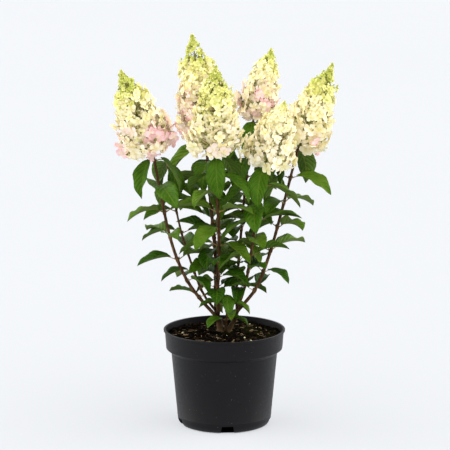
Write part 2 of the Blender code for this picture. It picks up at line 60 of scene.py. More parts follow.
def aimed(direction):
    # the turn that brings +Z round to a direction
    return direction.to_track_quat("Z", "Y").to_matrix().to_4x4()


def wobble(point, scale, shift=0.0):
    return noise.noise(Vector((point.x * scale + shift, point.y * scale - shift, point.z * scale)))


def meshFrom(bm, name):
    mesh = bpy.data.meshes.new(name)
    bm.to_mesh(mesh)
    bm.free()
    return mesh


def pourInto(target, mesh):
    # moves a mesh into a bmesh
    target.from_mesh(mesh)
    bpy.data.meshes.remove(mesh)


def newObject(name, data):
    thing = bpy.data.objects.new(name, data)
    bpy.context.scene.collection.objects.link(thing)
    return thing


def finishedMesh(thing):
    # the mesh that an object shows, in place of the object
    graph = bpy.context.evaluated_depsgraph_get()
    mesh = bpy.data.meshes.new_from_object(thing.evaluated_get(graph))
    bpy.data.objects.remove(thing, do_unlink=True)
    return mesh


def outward(bm):
    bmesh.ops.recalc_face_normals(bm, faces=bm.faces)
    if bm.calc_volume(signed=True) < 0:
        bmesh.ops.reverse_faces(bm, faces=bm.faces)


def scatter(target, template, place):
    # adds one placed copy of a template mesh to a bmesh
    copy = template.copy()
    copy.transform(place)
    pourInto(target, copy)


def twigTemplate():
    # a unit twig along +Z, a little thinner at its far end
    bm = bmesh.new()
    bmesh.ops.create_cone(bm, cap_ends=True, segments=5, radius1=1, radius2=0.6, depth=1)
    bmesh.ops.translate(bm, verts=bm.verts, vec=(0, 0, 0.5))
    return meshFrom(bm, "twig")


def scatterTwig(target, template, start, end, radius):
    run = end - start
    size = Matrix.Diagonal((radius, radius, run.length, 1))
    scatter(target, template, Matrix.Translation(start) @ aimed(run) @ size)


def addPiece(name, bm, materials, replaced=(), smooth=True):
    mesh = bm if isinstance(bm, bpy.types.Mesh) else meshFrom(bm, name)
    mesh.name = name
    for material in materials:
        mesh.materials.append(material)
    if smooth:
        mesh.shade_smooth()
    piece = newObject(name, mesh)
    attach(piece, "root")
    if replaced:
        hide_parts(*replaced)
    print(name, "has", len(mesh.polygons), "faces")


def applyModifiers(mesh, *settings):
    # returns the mesh with modifiers applied, each given as (type, {values})
    thing = newObject("work", mesh)
    for kind, values in settings:
        modifier = thing.modifiers.new(kind, kind)
        for key, value in values.items():
            setattr(modifier, key, value)
    return finishedMesh(thing)


def tubeMesh(points, radii, resolution):
    # a limb through the points, as a round curve with filled caps made a mesh
    curve = bpy.data.curves.new("limb", "CURVE")
    curve.dimensions = "3D"
    curve.bevel_depth = 1.0
    curve.bevel_resolution = resolution
    curve.use_fill_caps = True
    spline = curve.splines.new("POLY")
    spline.points.add(len(points) - 1)
    for point, place, radius in zip(spline.points, points, radii):
        point.co = (*place, 1)
        point.radius = radius
    mesh = finishedMesh(newObject("limb", curve))
    bpy.data.curves.remove(curve)
    bm = bmesh.new()
    pourInto(bm, mesh)
    bmesh.ops.remove_doubles(bm, verts=bm.verts, dist=0.00001)
    outward(bm)
    return meshFrom(bm, "limb")


# Shader tools

def addNode(tree, kind, inputs=None, **settings):
    node = tree.nodes.new(kind)
    for key, value in settings.items():
        setattr(node, key, value)
    for key, value in (inputs or {}).items():
        if isinstance(value, bpy.types.NodeSocket):
            tree.links.new(value, node.inputs[key])
        else:
            node.inputs[key].default_value = value
    return node


def mathNode(tree, operation, *values):
    return addNode(tree, "ShaderNodeMath", dict(enumerate(values)), operation=operation).outputs[0]


def ranged(tree, value, low, high, toLow=0.0, toHigh=1.0, **settings):
    # carries a value from one range over to another
    limits = {"Value": value, "From Min": low, "From Max": high, "To Min": toLow, "To Max": toHigh}
    return addNode(tree, "ShaderNodeMapRange", limits, **settings).outputs[0]


def newGroup(name, inputs, outputs):
    group = bpy.data.node_groups.new(name, "ShaderNodeTree")
    for socketName, kind, value in inputs:
        socket = group.interface.new_socket(name=socketName, in_out="INPUT", socket_type=kind)
        if value is not None:
            socket.default_value = value
    for socketName, kind in outputs:
        group.interface.new_socket(name=socketName, in_out="OUTPUT", socket_type=kind)
    return group, addNode(group, "NodeGroupInput").outputs, addNode(group, "NodeGroupOutput")


def makeMottle():
    # soft uneven patches with finer ones in them
    group, given, out = newGroup(
        "mottle",
        [("Vector", "NodeSocketVector", None), ("Scale", "NodeSocketFloat", 40.0)],
        [("Mask", "NodeSocketFloat"), ("Fine", "NodeSocketFloat")],
    )
    broad = addNode(group, "ShaderNodeTexNoise", {
        "Vector": given["Vector"], "Scale": given["Scale"], "Detail": 3.0, "Roughness": 0.55,
    })
    finer = mathNode(group, "MULTIPLY", given["Scale"], 6.5)
    fine = addNode(group, "ShaderNodeTexNoise", {
        "Vector": given["Vector"], "Scale": finer, "Detail": 2.0, "Roughness": 0.6,
    })
    group.links.new(ranged(group, broad.outputs["Fac"], 0.34, 0.66), out.inputs["Mask"])
    group.links.new(fine.outputs["Fac"], out.inputs["Fine"])
    return group


def makeSpecks():
    # scattered round specks, as of dust or lenticels
    group, given, out = newGroup(
        "specks",
        [("Vector", "NodeSocketVector", None), ("Scale", "NodeSocketFloat", 120.0),
         ("Size", "NodeSocketFloat", 0.10), ("Share", "NodeSocketFloat", 0.15)],
        [("Mask", "NodeSocketFloat")],
    )
    cells = addNode(group, "ShaderNodeTexVoronoi", {"Vector": given["Vector"], "Scale": given["Scale"]})
    near = mathNode(group, "LESS_THAN", cells.outputs["Distance"], given["Size"])
    tint = addNode(group, "ShaderNodeSeparateColor", {"Color": cells.outputs["Color"]})
    few = mathNode(group, "LESS_THAN", tint.outputs[0], given["Share"])
    group.links.new(mathNode(group, "MULTIPLY", near, few), out.inputs["Mask"])
    return group


def makeStreaks():
    # fissures that run up a stem, with ridges for the bump
    group, given, out = newGroup(
        "barkStreaks",
        [("Vector", "NodeSocketVector", None), ("Scale", "NodeSocketFloat", 300.0)],
        [("Mask", "NodeSocketFloat"), ("Height", "NodeSocketFloat")],
    )
    drawn = addNode(
        group, "ShaderNodeVectorMath", {0: given["Vector"], 1: (1.0, 1.0, 0.09)}, operation="MULTIPLY",
    )
    ridges = addNode(group, "ShaderNodeTexNoise", {
        "Vector": drawn.outputs[0], "Scale": given["Scale"], "Detail": 4.0, "Roughness": 0.65,
    })
    group.links.new(ranged(group, ridges.outputs["Fac"], 0.40, 0.62), out.inputs["Mask"])
    group.links.new(ridges.outputs["Fac"], out.inputs["Height"])
    return group


def makeVeins():
    # midrib and side veins of a blade, from its map: U runs from stalk to tip and V from edge to edge
    group, given, out = newGroup(
        "leafVeins",
        [("UV", "NodeSocketVector", None), ("Pairs", "NodeSocketFloat", 7.0)],
        [("Veins", "NodeSocketFloat"), ("Midrib", "NodeSocketFloat"), ("Hollow", "NodeSocketFloat")],
    )
    parts = addNode(group, "ShaderNodeSeparateXYZ", {0: given["UV"]})
    aside = mathNode(group, "ABSOLUTE", mathNode(group, "SUBTRACT", parts.outputs[1], 0.5))
    arch = mathNode(group, "MULTIPLY_ADD", aside, 0.5, 0.40)
    swept = mathNode(group, "MULTIPLY", aside, arch)
    rows = mathNode(group, "MULTIPLY", mathNode(group, "SUBTRACT", parts.outputs[0], swept), given["Pairs"])
    between = mathNode(group, "PINGPONG", rows, 0.5)
    hollow = ranged(group, between, 0.0, 0.40, 1.0, 0.0, interpolation_type="SMOOTHSTEP")
    group.links.new(ranged(group, between, 0.02, 0.12, 1.0, 0.0), out.inputs["Veins"])
    group.links.new(ranged(group, aside, 0.014, 0.045, 1.0, 0.0), out.inputs["Midrib"])
    group.links.new(hollow, out.inputs["Hollow"])
    return group


mottle = makeMottle()
specks = makeSpecks()
barkStreaks = makeStreaks()
leafVeins = makeVeins()


def placeGroup(tree, group, inputs):
    return addNode(tree, "ShaderNodeGroup", inputs, node_tree=group)


def newMaterial(name, roughness, specular, sheen=0.0):
    material = bpy.data.materials.new(name)
    material.use_nodes = True
    shader = material.node_tree.nodes["Principled BSDF"]
    shader.inputs["Roughness"].default_value = roughness
    shader.inputs["Specular IOR Level"].default_value = specular
    shader.inputs["Sheen Weight"].default_value = sheen
    return material, material.node_tree, shader


def blendColours(tree, share, first, second):
    node = addNode(tree, "ShaderNodeMix", {0: share}, data_type="RGBA")
    for index, value in ((6, first), (7, second)):
        if isinstance(value, bpy.types.NodeSocket):
            tree.links.new(value, node.inputs[index])
        else:
            node.inputs[index].default_value = (*value, 1)
    return node.outputs[2]


def scaled(tree, value, factor):
    return mathNode(tree, "MULTIPLY", value, factor)


def layered(tree, colour, *layers):
    # lays colours over a first one, each as strongly as its mask times a factor
    for mask, factor, over in layers:
        share = mask if factor == 1 else scaled(tree, mask, factor)
        colour = blendColours(tree, share, colour, over)
    return colour


def objectPlace(tree):
    return addNode(tree, "ShaderNodeTexCoord").outputs["Object"]


def addBump(tree, shader, height, strength, distance):
    values = {"Height": height, "Strength": strength, "Distance": distance}
    tree.links.new(addNode(tree, "ShaderNodeBump", values).outputs[0], shader.inputs["Normal"])


def plainFinish(name, colour, shade, scale, roughness, specular=0.25, bump=0.3, depth=0.0004):
    # a colour with softly mottled patches of a second one and a fine grain
    material, tree, shader = newMaterial(name, roughness, specular)
    patches = placeGroup(tree, mottle, {"Vector": objectPlace(tree), "Scale": scale})
    body = layered(tree, colour, (patches.outputs["Mask"], 1, shade))
    tree.links.new(body, shader.inputs["Base Color"])
    addBump(tree, shader, patches.outputs["Fine"], bump, depth)
    return material


# Pot

potLook = {
    "wall": 0.0020, "floor": 0.0030, "steps": 180, "sharpFrom": 38,
    "lipDepth": 0.0030, "bandTop": 0.1140, "bandFoot": 0.1116, "bandFootZ": 0.1495,
    "bodyTop": 0.1018, "bodyTopZ": 0.142, "bodyFoot": 0.0894, "bodyFootZ": 0.010,
    "heel": 0.0848, "heelZ": 0.0024, "foot": 0.079,
    "ridgeZ": 0.0200, "ridge": 0.00035, "ridgeHalf": 0.0008, "underLip": 0.0006,
    "stepRounding": 0.0013, "heelRounding": 0.0028, "edgeRounding": 0.0006,
    "notchTurns": (-162, -86, -8, 61, 130), "notchRadius": 0.085, "notchDepth": 0.019,
    "notchWidth": 0.027, "notchTop": 0.80, "notchHeight": 0.015,
    "colour": (0.0016, 0.0014, 0.0023), "worn": (0.0028, 0.0026, 0.0037), "dust": (0.17, 0.17, 0.165),
}


def makePotMaterial():
    look = potLook
    material, tree, shader = newMaterial("blackPotPlastic", 0.46, 0.21)
    place = objectPlace(tree)
    patches = placeGroup(tree, mottle, {"Vector": place, "Scale": 26.0})
    dust = placeGroup(tree, specks, {"Vector": place, "Scale": 150.0, "Size": 0.075, "Share": 0.14})
    scuffs = placeGroup(tree, specks, {"Vector": place, "Scale": 330.0, "Size": 0.22, "Share": 0.05})
    body = layered(
        tree, look["colour"], (patches.outputs["Mask"], 0.55, look["worn"]),
        (dust.outputs[0], 0.75, look["dust"]), (scuffs.outputs[0], 0.22, look["dust"]),
    )
    tree.links.new(body, shader.inputs["Base Color"])
    tree.links.new(ranged(tree, patches.outputs["Fine"], 0.3, 0.7, 0.41, 0.52), shader.inputs["Roughness"])
    grain = addNode(tree, "ShaderNodeTexNoise", {"Vector": place, "Scale": 900.0, "Detail": 2.0})
    addBump(tree, shader, grain.outputs["Fac"], 0.16, 0.0003)
    return material


def innerRadius(z):
    look = potLook
    if z >= look["bandFootZ"]:
        share = (z - look["bandFootZ"]) / (potHigh.z - look["bandFootZ"])
        return mix(look["bandFoot"], look["bandTop"], share) - look["wall"]
    share = (z - look["bodyFootZ"]) / (look["bodyTopZ"] - look["bodyFootZ"])
    return mix(look["bodyFoot"], look["bodyTop"], share) - look["wall"]


def turnProfile(profile, steps):
    # a closed solid from an (r, z) outline between two points on the axis
    bm = bmesh.new()
    line = [bm.verts.new((r, 0, z)) for r, z in profile]
    for a, b in zip(line, line[1:]):
        bm.edges.new((a, b))
    bmesh.ops.spin(
        bm, geom=bm.verts[:] + bm.edges[:], cent=(0, 0, 0), axis=(0, 0, 1), dvec=(0, 0, 0),
        angle=math.tau, steps=steps, use_merge=True,
    )
    bmesh.ops.remove_doubles(bm, verts=bm.verts, dist=0.00001)
    outward(bm)
    return bm


def roundRings(bm, rings, offset, segments):
    # bevels the whole rings of edges at these (r, z) places
    picked = []
    for edge in bm.edges:
        spots = [(math.hypot(v.co.x, v.co.y), v.co.z) for v in edge.verts]
        for r, z in rings:
            if all(abs(spot[0] - r) < 0.0001 and abs(spot[1] - z) < 0.0001 for spot in spots):
                picked.append(edge)
                break
    bmesh.ops.bevel(
        bm, geom=picked, affect="EDGES", offset=offset, segments=segments, profile=0.5, material=-1,
        clamp_overlap=True,
    )


def makePot():
    look = potLook
    top, wall, lip = potHigh.z, look["wall"], potHigh.x
    shoulderZ = look["bandFootZ"] + wall / 2
    slope = (look["bodyTop"] - look["bodyFoot"]) / (look["bodyTopZ"] - look["bodyFootZ"])
    ridgeRadius = look["bodyFoot"] + (look["ridgeZ"] - look["bodyFootZ"]) * slope
    half = look["ridgeHalf"]
    outer = [
        (lip, top), (lip, top - look["lipDepth"]),
        (look["bandTop"], top - look["lipDepth"] - look["underLip"]),
        (look["bandFoot"], look["bandFootZ"]), (look["bodyTop"], look["bodyTopZ"]),
        (ridgeRadius, look["ridgeZ"] + half), (ridgeRadius + look["ridge"], look["ridgeZ"]),
        (ridgeRadius, look["ridgeZ"] - half),
        (look["bodyFoot"], look["bodyFootZ"]), (look["heel"], look["heelZ"]), (look["foot"], 0),
    ]
    inner = [
        (look["heel"] - wall, look["floor"]),
        (look["bodyFoot"] - wall, look["bodyFootZ"] + wall / 2),
        (look["bodyTop"] - wall, look["bodyTopZ"] + wall / 2),
        (look["bandFoot"] - wall, shoulderZ), (look["bandTop"] - wall, top),
    ]
    bm = turnProfile([(0, look["floor"])] + inner + outer + [(0, 0)], look["steps"])
    roundRings(bm, [outer[3], outer[4], inner[2], inner[3]], look["stepRounding"], 4)
    roundRings(bm, [outer[8], outer[9]], look["heelRounding"], 4)
    roundRings(bm, [outer[0], outer[1]], look["edgeRounding"], 3)
    pot = meshFrom(bm, "pot_shell")
    cutters = bmesh.new()
    for turn in look["notchTurns"]:
        corners = bmesh.ops.create_cube(cutters, size=1)["verts"]
        for vert in corners:
            atTop = vert.co.z > 0
            vert.co.x *= look["notchDepth"]
            vert.co.y *= look["notchWidth"] * (look["notchTop"] if atTop else 1)
            vert.co.z = look["notchHeight"] if atTop else -wall
        place = Matrix.Rotation(math.radians(turn), 4, "Z") @ Matrix.Translation((look["notchRadius"], 0, 0))
        bmesh.ops.transform(cutters, matrix=place, verts=corners)
    cutter = newObject("notch_cutters", meshFrom(cutters, "notch_cutters"))
    cut = applyModifiers(pot, ("BOOLEAN", {"operation": "DIFFERENCE", "object": cutter, "solver": "EXACT"}))
    bpy.data.objects.remove(cutter, do_unlink=True)
    addPiece("pot_shell", cut, [makePotMaterial()], ["pot"])
    cut.set_sharp_from_angle(angle=math.radians(look["sharpFrom"]))


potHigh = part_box("pot")[1]
makePot()


# Compost, with what lies in it

soilLook = {
    "rings": 54, "steps": 170, "lumps": (0.0032, 46.0), "crumbs": (0.0026, 135.0), "grit": (0.0008, 480.0),
    "edge": 0.1745, "level": 0.045, "clear": 0.0005, "shift": 3.7, "seed": 4,
    "colour": (0.0018, 0.0014, 0.0010), "crumb": (0.0048, 0.0030, 0.0015), "grain": (0.20, 0.13, 0.06),
    # paintedShade is the near-black colour of the painted shade low in the pot
    "moss": (0.024, 0.027, 0.006), "paintedShade": (0.0006, 0.0005, 0.0004),
}
chipLook = {
    "kinds": {
        "dark": ("darkBark", 760, (0.0018, 0.0013, 0.0009), (0.0065, 0.0040, 0.0022), 0.90, 0.03),
        "brown": ("brownBark", 190, (0.009, 0.0052, 0.0026), (0.032, 0.0185, 0.0088), 0.88, 0.03),
        "tan": ("paleBark", 54, (0.090, 0.056, 0.026), (0.26, 0.180, 0.095), 0.80, 0.25),
    },
    "templates": 10, "sides": ((0.7, 1.1), (0.25, 0.55), (0.12, 0.30)),
    "length": (0.0020, 0.0125), "lengthPower": 2.6, "tilt": 0.55, "keepOff": 0.014,
    "fibres": 46, "fibreLength": (0.008, 0.020), "fibreRadius": 0.00032, "fibreLift": 0.0009,
    "fibreBow": 0.4, "fibreTilt": 0.12, "fibreSteps": 5,
    "perlite": 16, "perliteRadius": (0.0008, 0.0023), "perliteRelief": 0.35, "perliteGrain": 900,
    "perliteSpace": 0.003, "perliteTilt": 0.3,
}


def soilHeight(x, y):
    look = soilLook
    radius = math.hypot(x, y)
    fall = (radius - look["level"]) / (soilRadius - look["level"])
    level = mix(soilTop, look["edge"], max(0.0, min(1.0, fall)))
    spot = Vector((x, y, 0))
    for height, scale in (look["lumps"], look["crumbs"], look["grit"]):
        level += height * wobble(spot, scale, look["shift"])
    return level


def makeSoilMaterial():
    look = soilLook
    material, tree, shader = newMaterial("dampCompost", 0.95, 0.0)
    place = objectPlace(tree)
    patches = placeGroup(tree, mottle, {"Vector": place, "Scale": 150.0})
    broad = placeGroup(tree, mottle, {"Vector": place, "Scale": 24.0})
    grains = placeGroup(tree, specks, {"Vector": place, "Scale": 420.0, "Size": 0.30, "Share": 0.10})
    moved = addNode(tree, "ShaderNodeMapping", {
        "Vector": place, "Location": (-0.58, -0.35, -2.1), "Scale": (12.0, 12.0, 12.0),
    })
    near = addNode(tree, "ShaderNodeTexGradient", {"Vector": moved.outputs[0]}, gradient_type="SPHERICAL")
    mossy = mathNode(tree, "MULTIPLY", near.outputs["Fac"], broad.outputs["Mask"])
    light = layered(
        tree, look["colour"], (patches.outputs["Mask"], 0.75, look["crumb"]), (mossy, 1, look["moss"]),
        (grains.outputs[0], 0.55, look["grain"]),
    )
    parts = addNode(tree, "ShaderNodeSeparateXYZ", {0: place})
    # painted shade: lower down, towards the pot floor, the compost turns near black, for the shade inside
    # the pot where it shows through the notches
    whole = blendColours(tree, ranged(tree, parts.outputs[2], 0.02, 0.16), look["paintedShade"], light)
    tree.links.new(whole, shader.inputs["Base Color"])
    addBump(tree, shader, patches.outputs["Fine"], 0.9, 0.0012)
    return material


def makeSoil():
    look = soilLook
    count = look["rings"]
    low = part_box("soil")[0].z
    profile = [(soilRadius * k / count, soilTop) for k in range(count + 1)]
    wall = potLook["wall"]
    inset = wall + look["clear"]
    walls = [
        (innerRadius(potLook["bandFootZ"] + wall) - look["clear"], potLook["bandFootZ"] + wall),
        (potLook["bodyTop"] - inset, potLook["bodyTopZ"] + wall),
        (potLook["bodyFoot"] - inset, potLook["bodyFootZ"] + wall),
        (potLook["heel"] - inset - look["clear"], low),
        (0, low),
    ]
    bm = turnProfile(profile + walls, look["steps"])
    for vert in bm.verts:
        if vert.co.z > soilTop - 0.0001:
            vert.co.z = soilHeight(vert.co.x, vert.co.y)
    addPiece("compost_fill", bm, [makeSoilMaterial()], ["soil"])


def chipTemplate(seed):
    # a broken flake of bark: a flat block with its corners pushed about
    chance = random.Random(seed)
    bm = bmesh.new()
    bmesh.ops.create_cube(bm, size=1)
    for vert in bm.verts:
        for axis, spread in enumerate(chipLook["sides"]):
            vert.co[axis] *= chance.uniform(*spread)
    outward(bm)
    return meshFrom(bm, "chip")


def dropPlace(chance, length, tilt):
    # a random spot on the compost, clear of the woody foot, with a random lie
    while True:
        radius = math.sqrt(chance.random()) * (soilRadius - length * 0.6)
        angle = chance.uniform(0, math.tau)
        x, y = math.cos(angle) * radius, math.sin(angle) * radius
        if math.hypot(x, y - crownFoot.y) > chipLook["keepOff"]:
            break
    turn = Matrix.Rotation(chance.uniform(0, math.tau), 4, "Z")
    for axis in "YX":
        turn = turn @ Matrix.Rotation(chance.uniform(-tilt, tilt), 4, axis)
    return Matrix.Translation((x, y, soilHeight(x, y))) @ turn


def makeChips():
    look = chipLook
    chance = random.Random(soilLook["seed"])
    templates = [chipTemplate(seed) for seed in range(look["templates"])]
    for kind, (name, count, colour, shade, roughness, specular) in look["kinds"].items():
        material = plainFinish(name, colour, shade, 300.0, roughness, specular)
        bm = bmesh.new()
        for index in range(count):
            length = mix(*look["length"], chance.random() ** look["lengthPower"])
            place = dropPlace(chance, length, look["tilt"]) @ Matrix.Scale(length, 4)
            scatter(bm, templates[index % len(templates)], place)
        addPiece(f"bark_chips_{kind}", bm, [material], smooth=False)
    fibres = bmesh.new()
    steps = look["fibreSteps"]
    for index in range(look["fibres"]):
        length = chance.uniform(*look["fibreLength"])
        place = dropPlace(chance, length, look["fibreTilt"])
        bow = chance.uniform(-look["fibreBow"], look["fibreBow"])
        spans = [k / steps - 0.5 for k in range(steps + 1)]
        points = [place @ Vector((length * t, length * bow * t ** 2, look["fibreLift"])) for t in spans]
        pourInto(fibres, tubeMesh(points, [look["fibreRadius"]] * len(points), 0))
    straw = plainFinish("rootFibres", (0.20, 0.125, 0.060), (0.34, 0.24, 0.13), 260.0, 0.8)
    addPiece("root_fibres", fibres, [straw])
    grains = bmesh.new()
    for index in range(look["perlite"]):
        radius = chance.uniform(*look["perliteRadius"])
        fresh = bmesh.ops.create_icosphere(grains, subdivisions=2, radius=radius)["verts"]
        for vert in fresh:
            vert.co *= 1 + look["perliteRelief"] * wobble(vert.co, look["perliteGrain"], index)
        place = dropPlace(chance, look["perliteSpace"], look["perliteTilt"])
        bmesh.ops.transform(grains, matrix=place, verts=fresh)
    pale = plainFinish("perlite", (0.72, 0.66, 0.44), (0.60, 0.56, 0.30), 500.0, 0.8)
    addPiece("perlite_grains", grains, [pale])


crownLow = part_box("woody_crown")[0]
crownFoot = Vector((0.0005, 0.012, crownLow.z))
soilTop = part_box("soil")[1].z
soilRadius = innerRadius(soilLook["edge"]) - soilLook["clear"]
makeSoil()
makeChips()


# Canes: each runs through its route from the woody crown to its flower head. Its leaf pairs start at first
# and end at last before the tip, the lowest pair facing turn degrees round from +X.

canePlans = {
    "left": {
        "trunk": "left", "footWidth": 0.0066, "tipWidth": 0.0050,
        "turn": 15, "pairs": 7, "first": 0.036, "last": 0.016, "seed": 172, "leaf": (0.056, 0.085),
        "route": [(-0.025, -0.002, 0.221), (-0.048, -0.004, 0.248), (-0.077, -0.006, 0.293),
                  (-0.105, -0.010, 0.374), (-0.135, -0.018, 0.530)],
    },
    "right": {
        "trunk": "right", "footWidth": 0.0068, "tipWidth": 0.0050,
        "turn": 45, "pairs": 7, "first": 0.044, "last": 0.016, "seed": 1703, "leaf": (0.056, 0.085),
        "route": [(0.030, -0.004, 0.227), (0.061, 0.000, 0.266), (0.086, 0.008, 0.329),
                  (0.109, 0.018, 0.410), (0.142, 0.034, 0.537)],
    },
    "front_middle": {
        "trunk": "left", "footWidth": 0.0074, "tipWidth": 0.0054,
        "turn": 70, "pairs": 9, "first": 0.034, "last": 0.016, "seed": 476, "leaf": (0.058, 0.082),
        "route": [(-0.012, -0.002, 0.227), (-0.013, -0.008, 0.264), (-0.010, -0.024, 0.349),
                  (-0.013, -0.048, 0.449), (-0.018, -0.074, 0.543)],
    },
    "front_right": {
        "trunk": "right", "footWidth": 0.0058, "tipWidth": 0.0046,
        "turn": 15, "pairs": 8, "first": 0.042, "last": 0.016, "seed": 119, "leaf": (0.058, 0.082),
        "route": [(0.028, 0.004, 0.232), (0.041, -0.002, 0.276), (0.053, -0.014, 0.351),
                  (0.064, -0.030, 0.432), (0.079, -0.048, 0.518)],
    },
    "rear_left": {
        "trunk": "left", "footWidth": 0.0050, "tipWidth": 0.0036,
        "turn": 80, "pairs": 7, "first": 0.042, "last": 0.003, "seed": 258, "leaf": (0.056, 0.080),
        "route": [(-0.022, 0.010, 0.226), (-0.043, 0.014, 0.256), (-0.064, 0.024, 0.311),
                  (-0.086, 0.042, 0.380), (-0.108, 0.062, 0.492)],
    },
    "rear_middle": {
        "trunk": "left", "footWidth": 0.0078, "tipWidth": 0.0054,
        "turn": 20, "pairs": 11, "first": 0.028, "last": 0.020, "seed": 859, "leaf": (0.060, 0.085),
        "route": [(-0.016, 0.018, 0.232), (-0.016, 0.022, 0.270), (-0.018, 0.034, 0.337),
                  (-0.027, 0.058, 0.428), (-0.035, 0.086, 0.540)],
    },
    "rear_right": {
        "trunk": "right", "footWidth": 0.0056, "tipWidth": 0.0044,
        "turn": 60, "pairs": 11, "first": 0.032, "last": 0.020, "seed": 1198, "leaf": (0.058, 0.082),
        "route": [(0.024, 0.016, 0.225), (0.024, 0.022, 0.267), (0.031, 0.040, 0.351),
                  (0.039, 0.060, 0.437), (0.057, 0.088, 0.588)],
    },
    "basal": {
        "footWidth": 0.0044, "tipWidth": 0.0030,
        "turn": 10, "pairs": 4, "first": 0.008, "last": 0.003, "seed": 393, "leaf": (0.038, 0.044),
        "route": [(0.003, 0.006, 0.194), (0.005, -0.003, 0.212), (0.004, -0.010, 0.232),
                  (0.001, -0.014, 0.254)],
    },
}
caneLook = {
    "step": 0.020, "samples": 24, "spacingPower": 1.1, "sides": 1, "endClear": 0.002,
    "barkStep": 0.0014, "barkSides": 4, "knot": 0.30, "knotLength": 0.0030, "relief": 0.00022, "sink": 0.006,
}


def smoothRoute(points, step):
    # even steps along the Catmull-Rom curve through the points
    ends = [points[0] * 2 - points[1]] + points + [points[-1] * 2 - points[-2]]
    fine = []
    for a, b, c, d in zip(ends, ends[1:], ends[2:], ends[3:]):
        for index in range(caneLook["samples"]):
            t = index / caneLook["samples"]
            fine.append(
                (b * 2 + (c - a) * t + (a * 2 - b * 5 + c * 4 - d) * t * t
                 + (b * 3 - a - c * 3 + d) * t * t * t) * 0.5
            )
    fine.append(points[-1].copy())
    length = sum((b - a).length for a, b in zip(fine, fine[1:]))
    count = max(2, round(length / step))
    even = [fine[0]]
    travelled = 0.0
    for a, b in zip(fine, fine[1:]):
        piece = (b - a).length
        while len(even) < count and travelled + piece >= length * len(even) / count:
            share = (length * len(even) / count - travelled) / piece
            even.append(a.lerp(b, share))
        travelled += piece
    even.append(fine[-1])
    return even


class Cane:
    def __init__(self, name, plan):
        self.name = name
        self.plan = plan
        self.points = smoothRoute([Vector(p) for p in plan["route"]], caneLook["step"])
        count = len(self.points) - 1
        self.step = sum((b - a).length for a, b in zip(self.points, self.points[1:])) / count
        self.length = self.step * count

    def at(self, distance):
        # a hair short of the last point, which has none after it
        place = min(max(distance / self.step, 0), len(self.points) - 1.000001)
        index = int(place)
        return self.points[index].lerp(self.points[index + 1], place - index)

    def heading(self, distance):
        index = min(int(max(distance / self.step, 0)), len(self.points) - 2)
        return (self.points[index + 1] - self.points[index]).normalized()

    def radius(self, distance):
        return mix(self.plan["footWidth"], self.plan["tipWidth"], distance / self.length) / 2

    def pairs(self):
        # distance, share of the way up and facing, in degrees, of each leaf pair
        count = self.plan["pairs"]
        last = self.length - self.plan["last"]
        found = []
        for k in range(count):
            share = k / (count - 1)
            distance = mix(self.plan["first"], last, share ** caneLook["spacingPower"])
            found.append((distance, share, self.plan["turn"] + 90 * k))
        return found


canes = [Cane(name, plan) for name, plan in canePlans.items()]
basal = canes[-1]


# Leaves: opposite pairs, each pair a quarter turn from the one below, hanging more towards the top. A coarse
# blade finds the first of its tries that keeps clear, and the fine one grows in its place.

leafRule = {
    "widthRatio": 0.49, "thickness": 0.0016, "rings": (0.20, 0.46, 0.75), "ringWidths": (0.80, 1.0, 0.58),
    "fold": math.radians(24), "droop": math.radians(42),
    "pitchFoot": 16, "pitchTop": -42, "pitchPower": 3.0,
    "pitchSpread": 21, "turnSpread": 24, "rollSpread": 16,
    "fullLengthShare": 0.8, "lengthSpread": (0.92, 1.06), "clearance": 0.0026,
    "stalkLength": 0.015, "stalkRise": math.radians(32), "stalkRadius": 0.0011, "stalkLeast": 0.6,
    "tryTurns": (0, 16, -16, 32, -32, 48, -48), "tryPitches": (0, 14, -14, 28),
    "trySizes": (1.0, 0.85, 0.72),
}


def bladePlace(along, across, lift, length, droop):
    # a point of a blade that droops evenly along +X from its base at the origin
    bend = droop * along
    x = length * math.sin(bend) / droop
    z = -length * (1 - math.cos(bend)) / droop
    return Vector((x + math.sin(bend) * lift, across, z + math.cos(bend) * lift))


def coarseLeaf(length, width, thickness, place, node, stalkRadius):
    rule = leafRule
    rings = len(rule["rings"]) + 3
    bm = bmesh.new()
    bmesh.ops.create_uvsphere(bm, u_segments=4, v_segments=rings, radius=1)
    base = place.translation
    run = (base - node).normalized()
    sideAxis = place.to_3x3() @ Vector((0, 1, 0))
    upAxis = run.cross(sideAxis).normalized()
    for vert in bm.verts:
        ring = round(math.acos(max(-1, min(1, vert.co.z))) / (math.pi / rings))
        widest = max(abs(vert.co.x), abs(vert.co.y), 0.0001)
        side, face = round(vert.co.x / widest), round(vert.co.y / widest)
        if ring < 3:
            centre = (node - run * stalkRadius, node, base)[ring]
            reach = stalkRadius if ring else 0
            vert.co = centre + (sideAxis * side + upAxis * face) * reach
        elif ring < rings:
            half = width / 2 * rule["ringWidths"][ring - 3]
            lift = face * thickness / 2 + abs(side) * half * math.sin(rule["fold"])
            across = side * half * math.cos(rule["fold"])
            vert.co = place @ bladePlace(rule["rings"][ring - 3], across, lift, length, rule["droop"])
        else:
            vert.co = place @ bladePlace(1, 0, 0, length, rule["droop"])
    return bm


def leafFrame(origin, azimuth, pitch, roll):
    turn = Matrix.Rotation(azimuth, 4, "Z") @ Matrix.Rotation(-pitch, 4, "Y") @ Matrix.Rotation(roll, 4, "X")
    return Matrix.Translation(origin) @ turn


def treeOf(bm):
    tree = BVHTree.FromBMesh(bm)
    bm.free()
    return tree


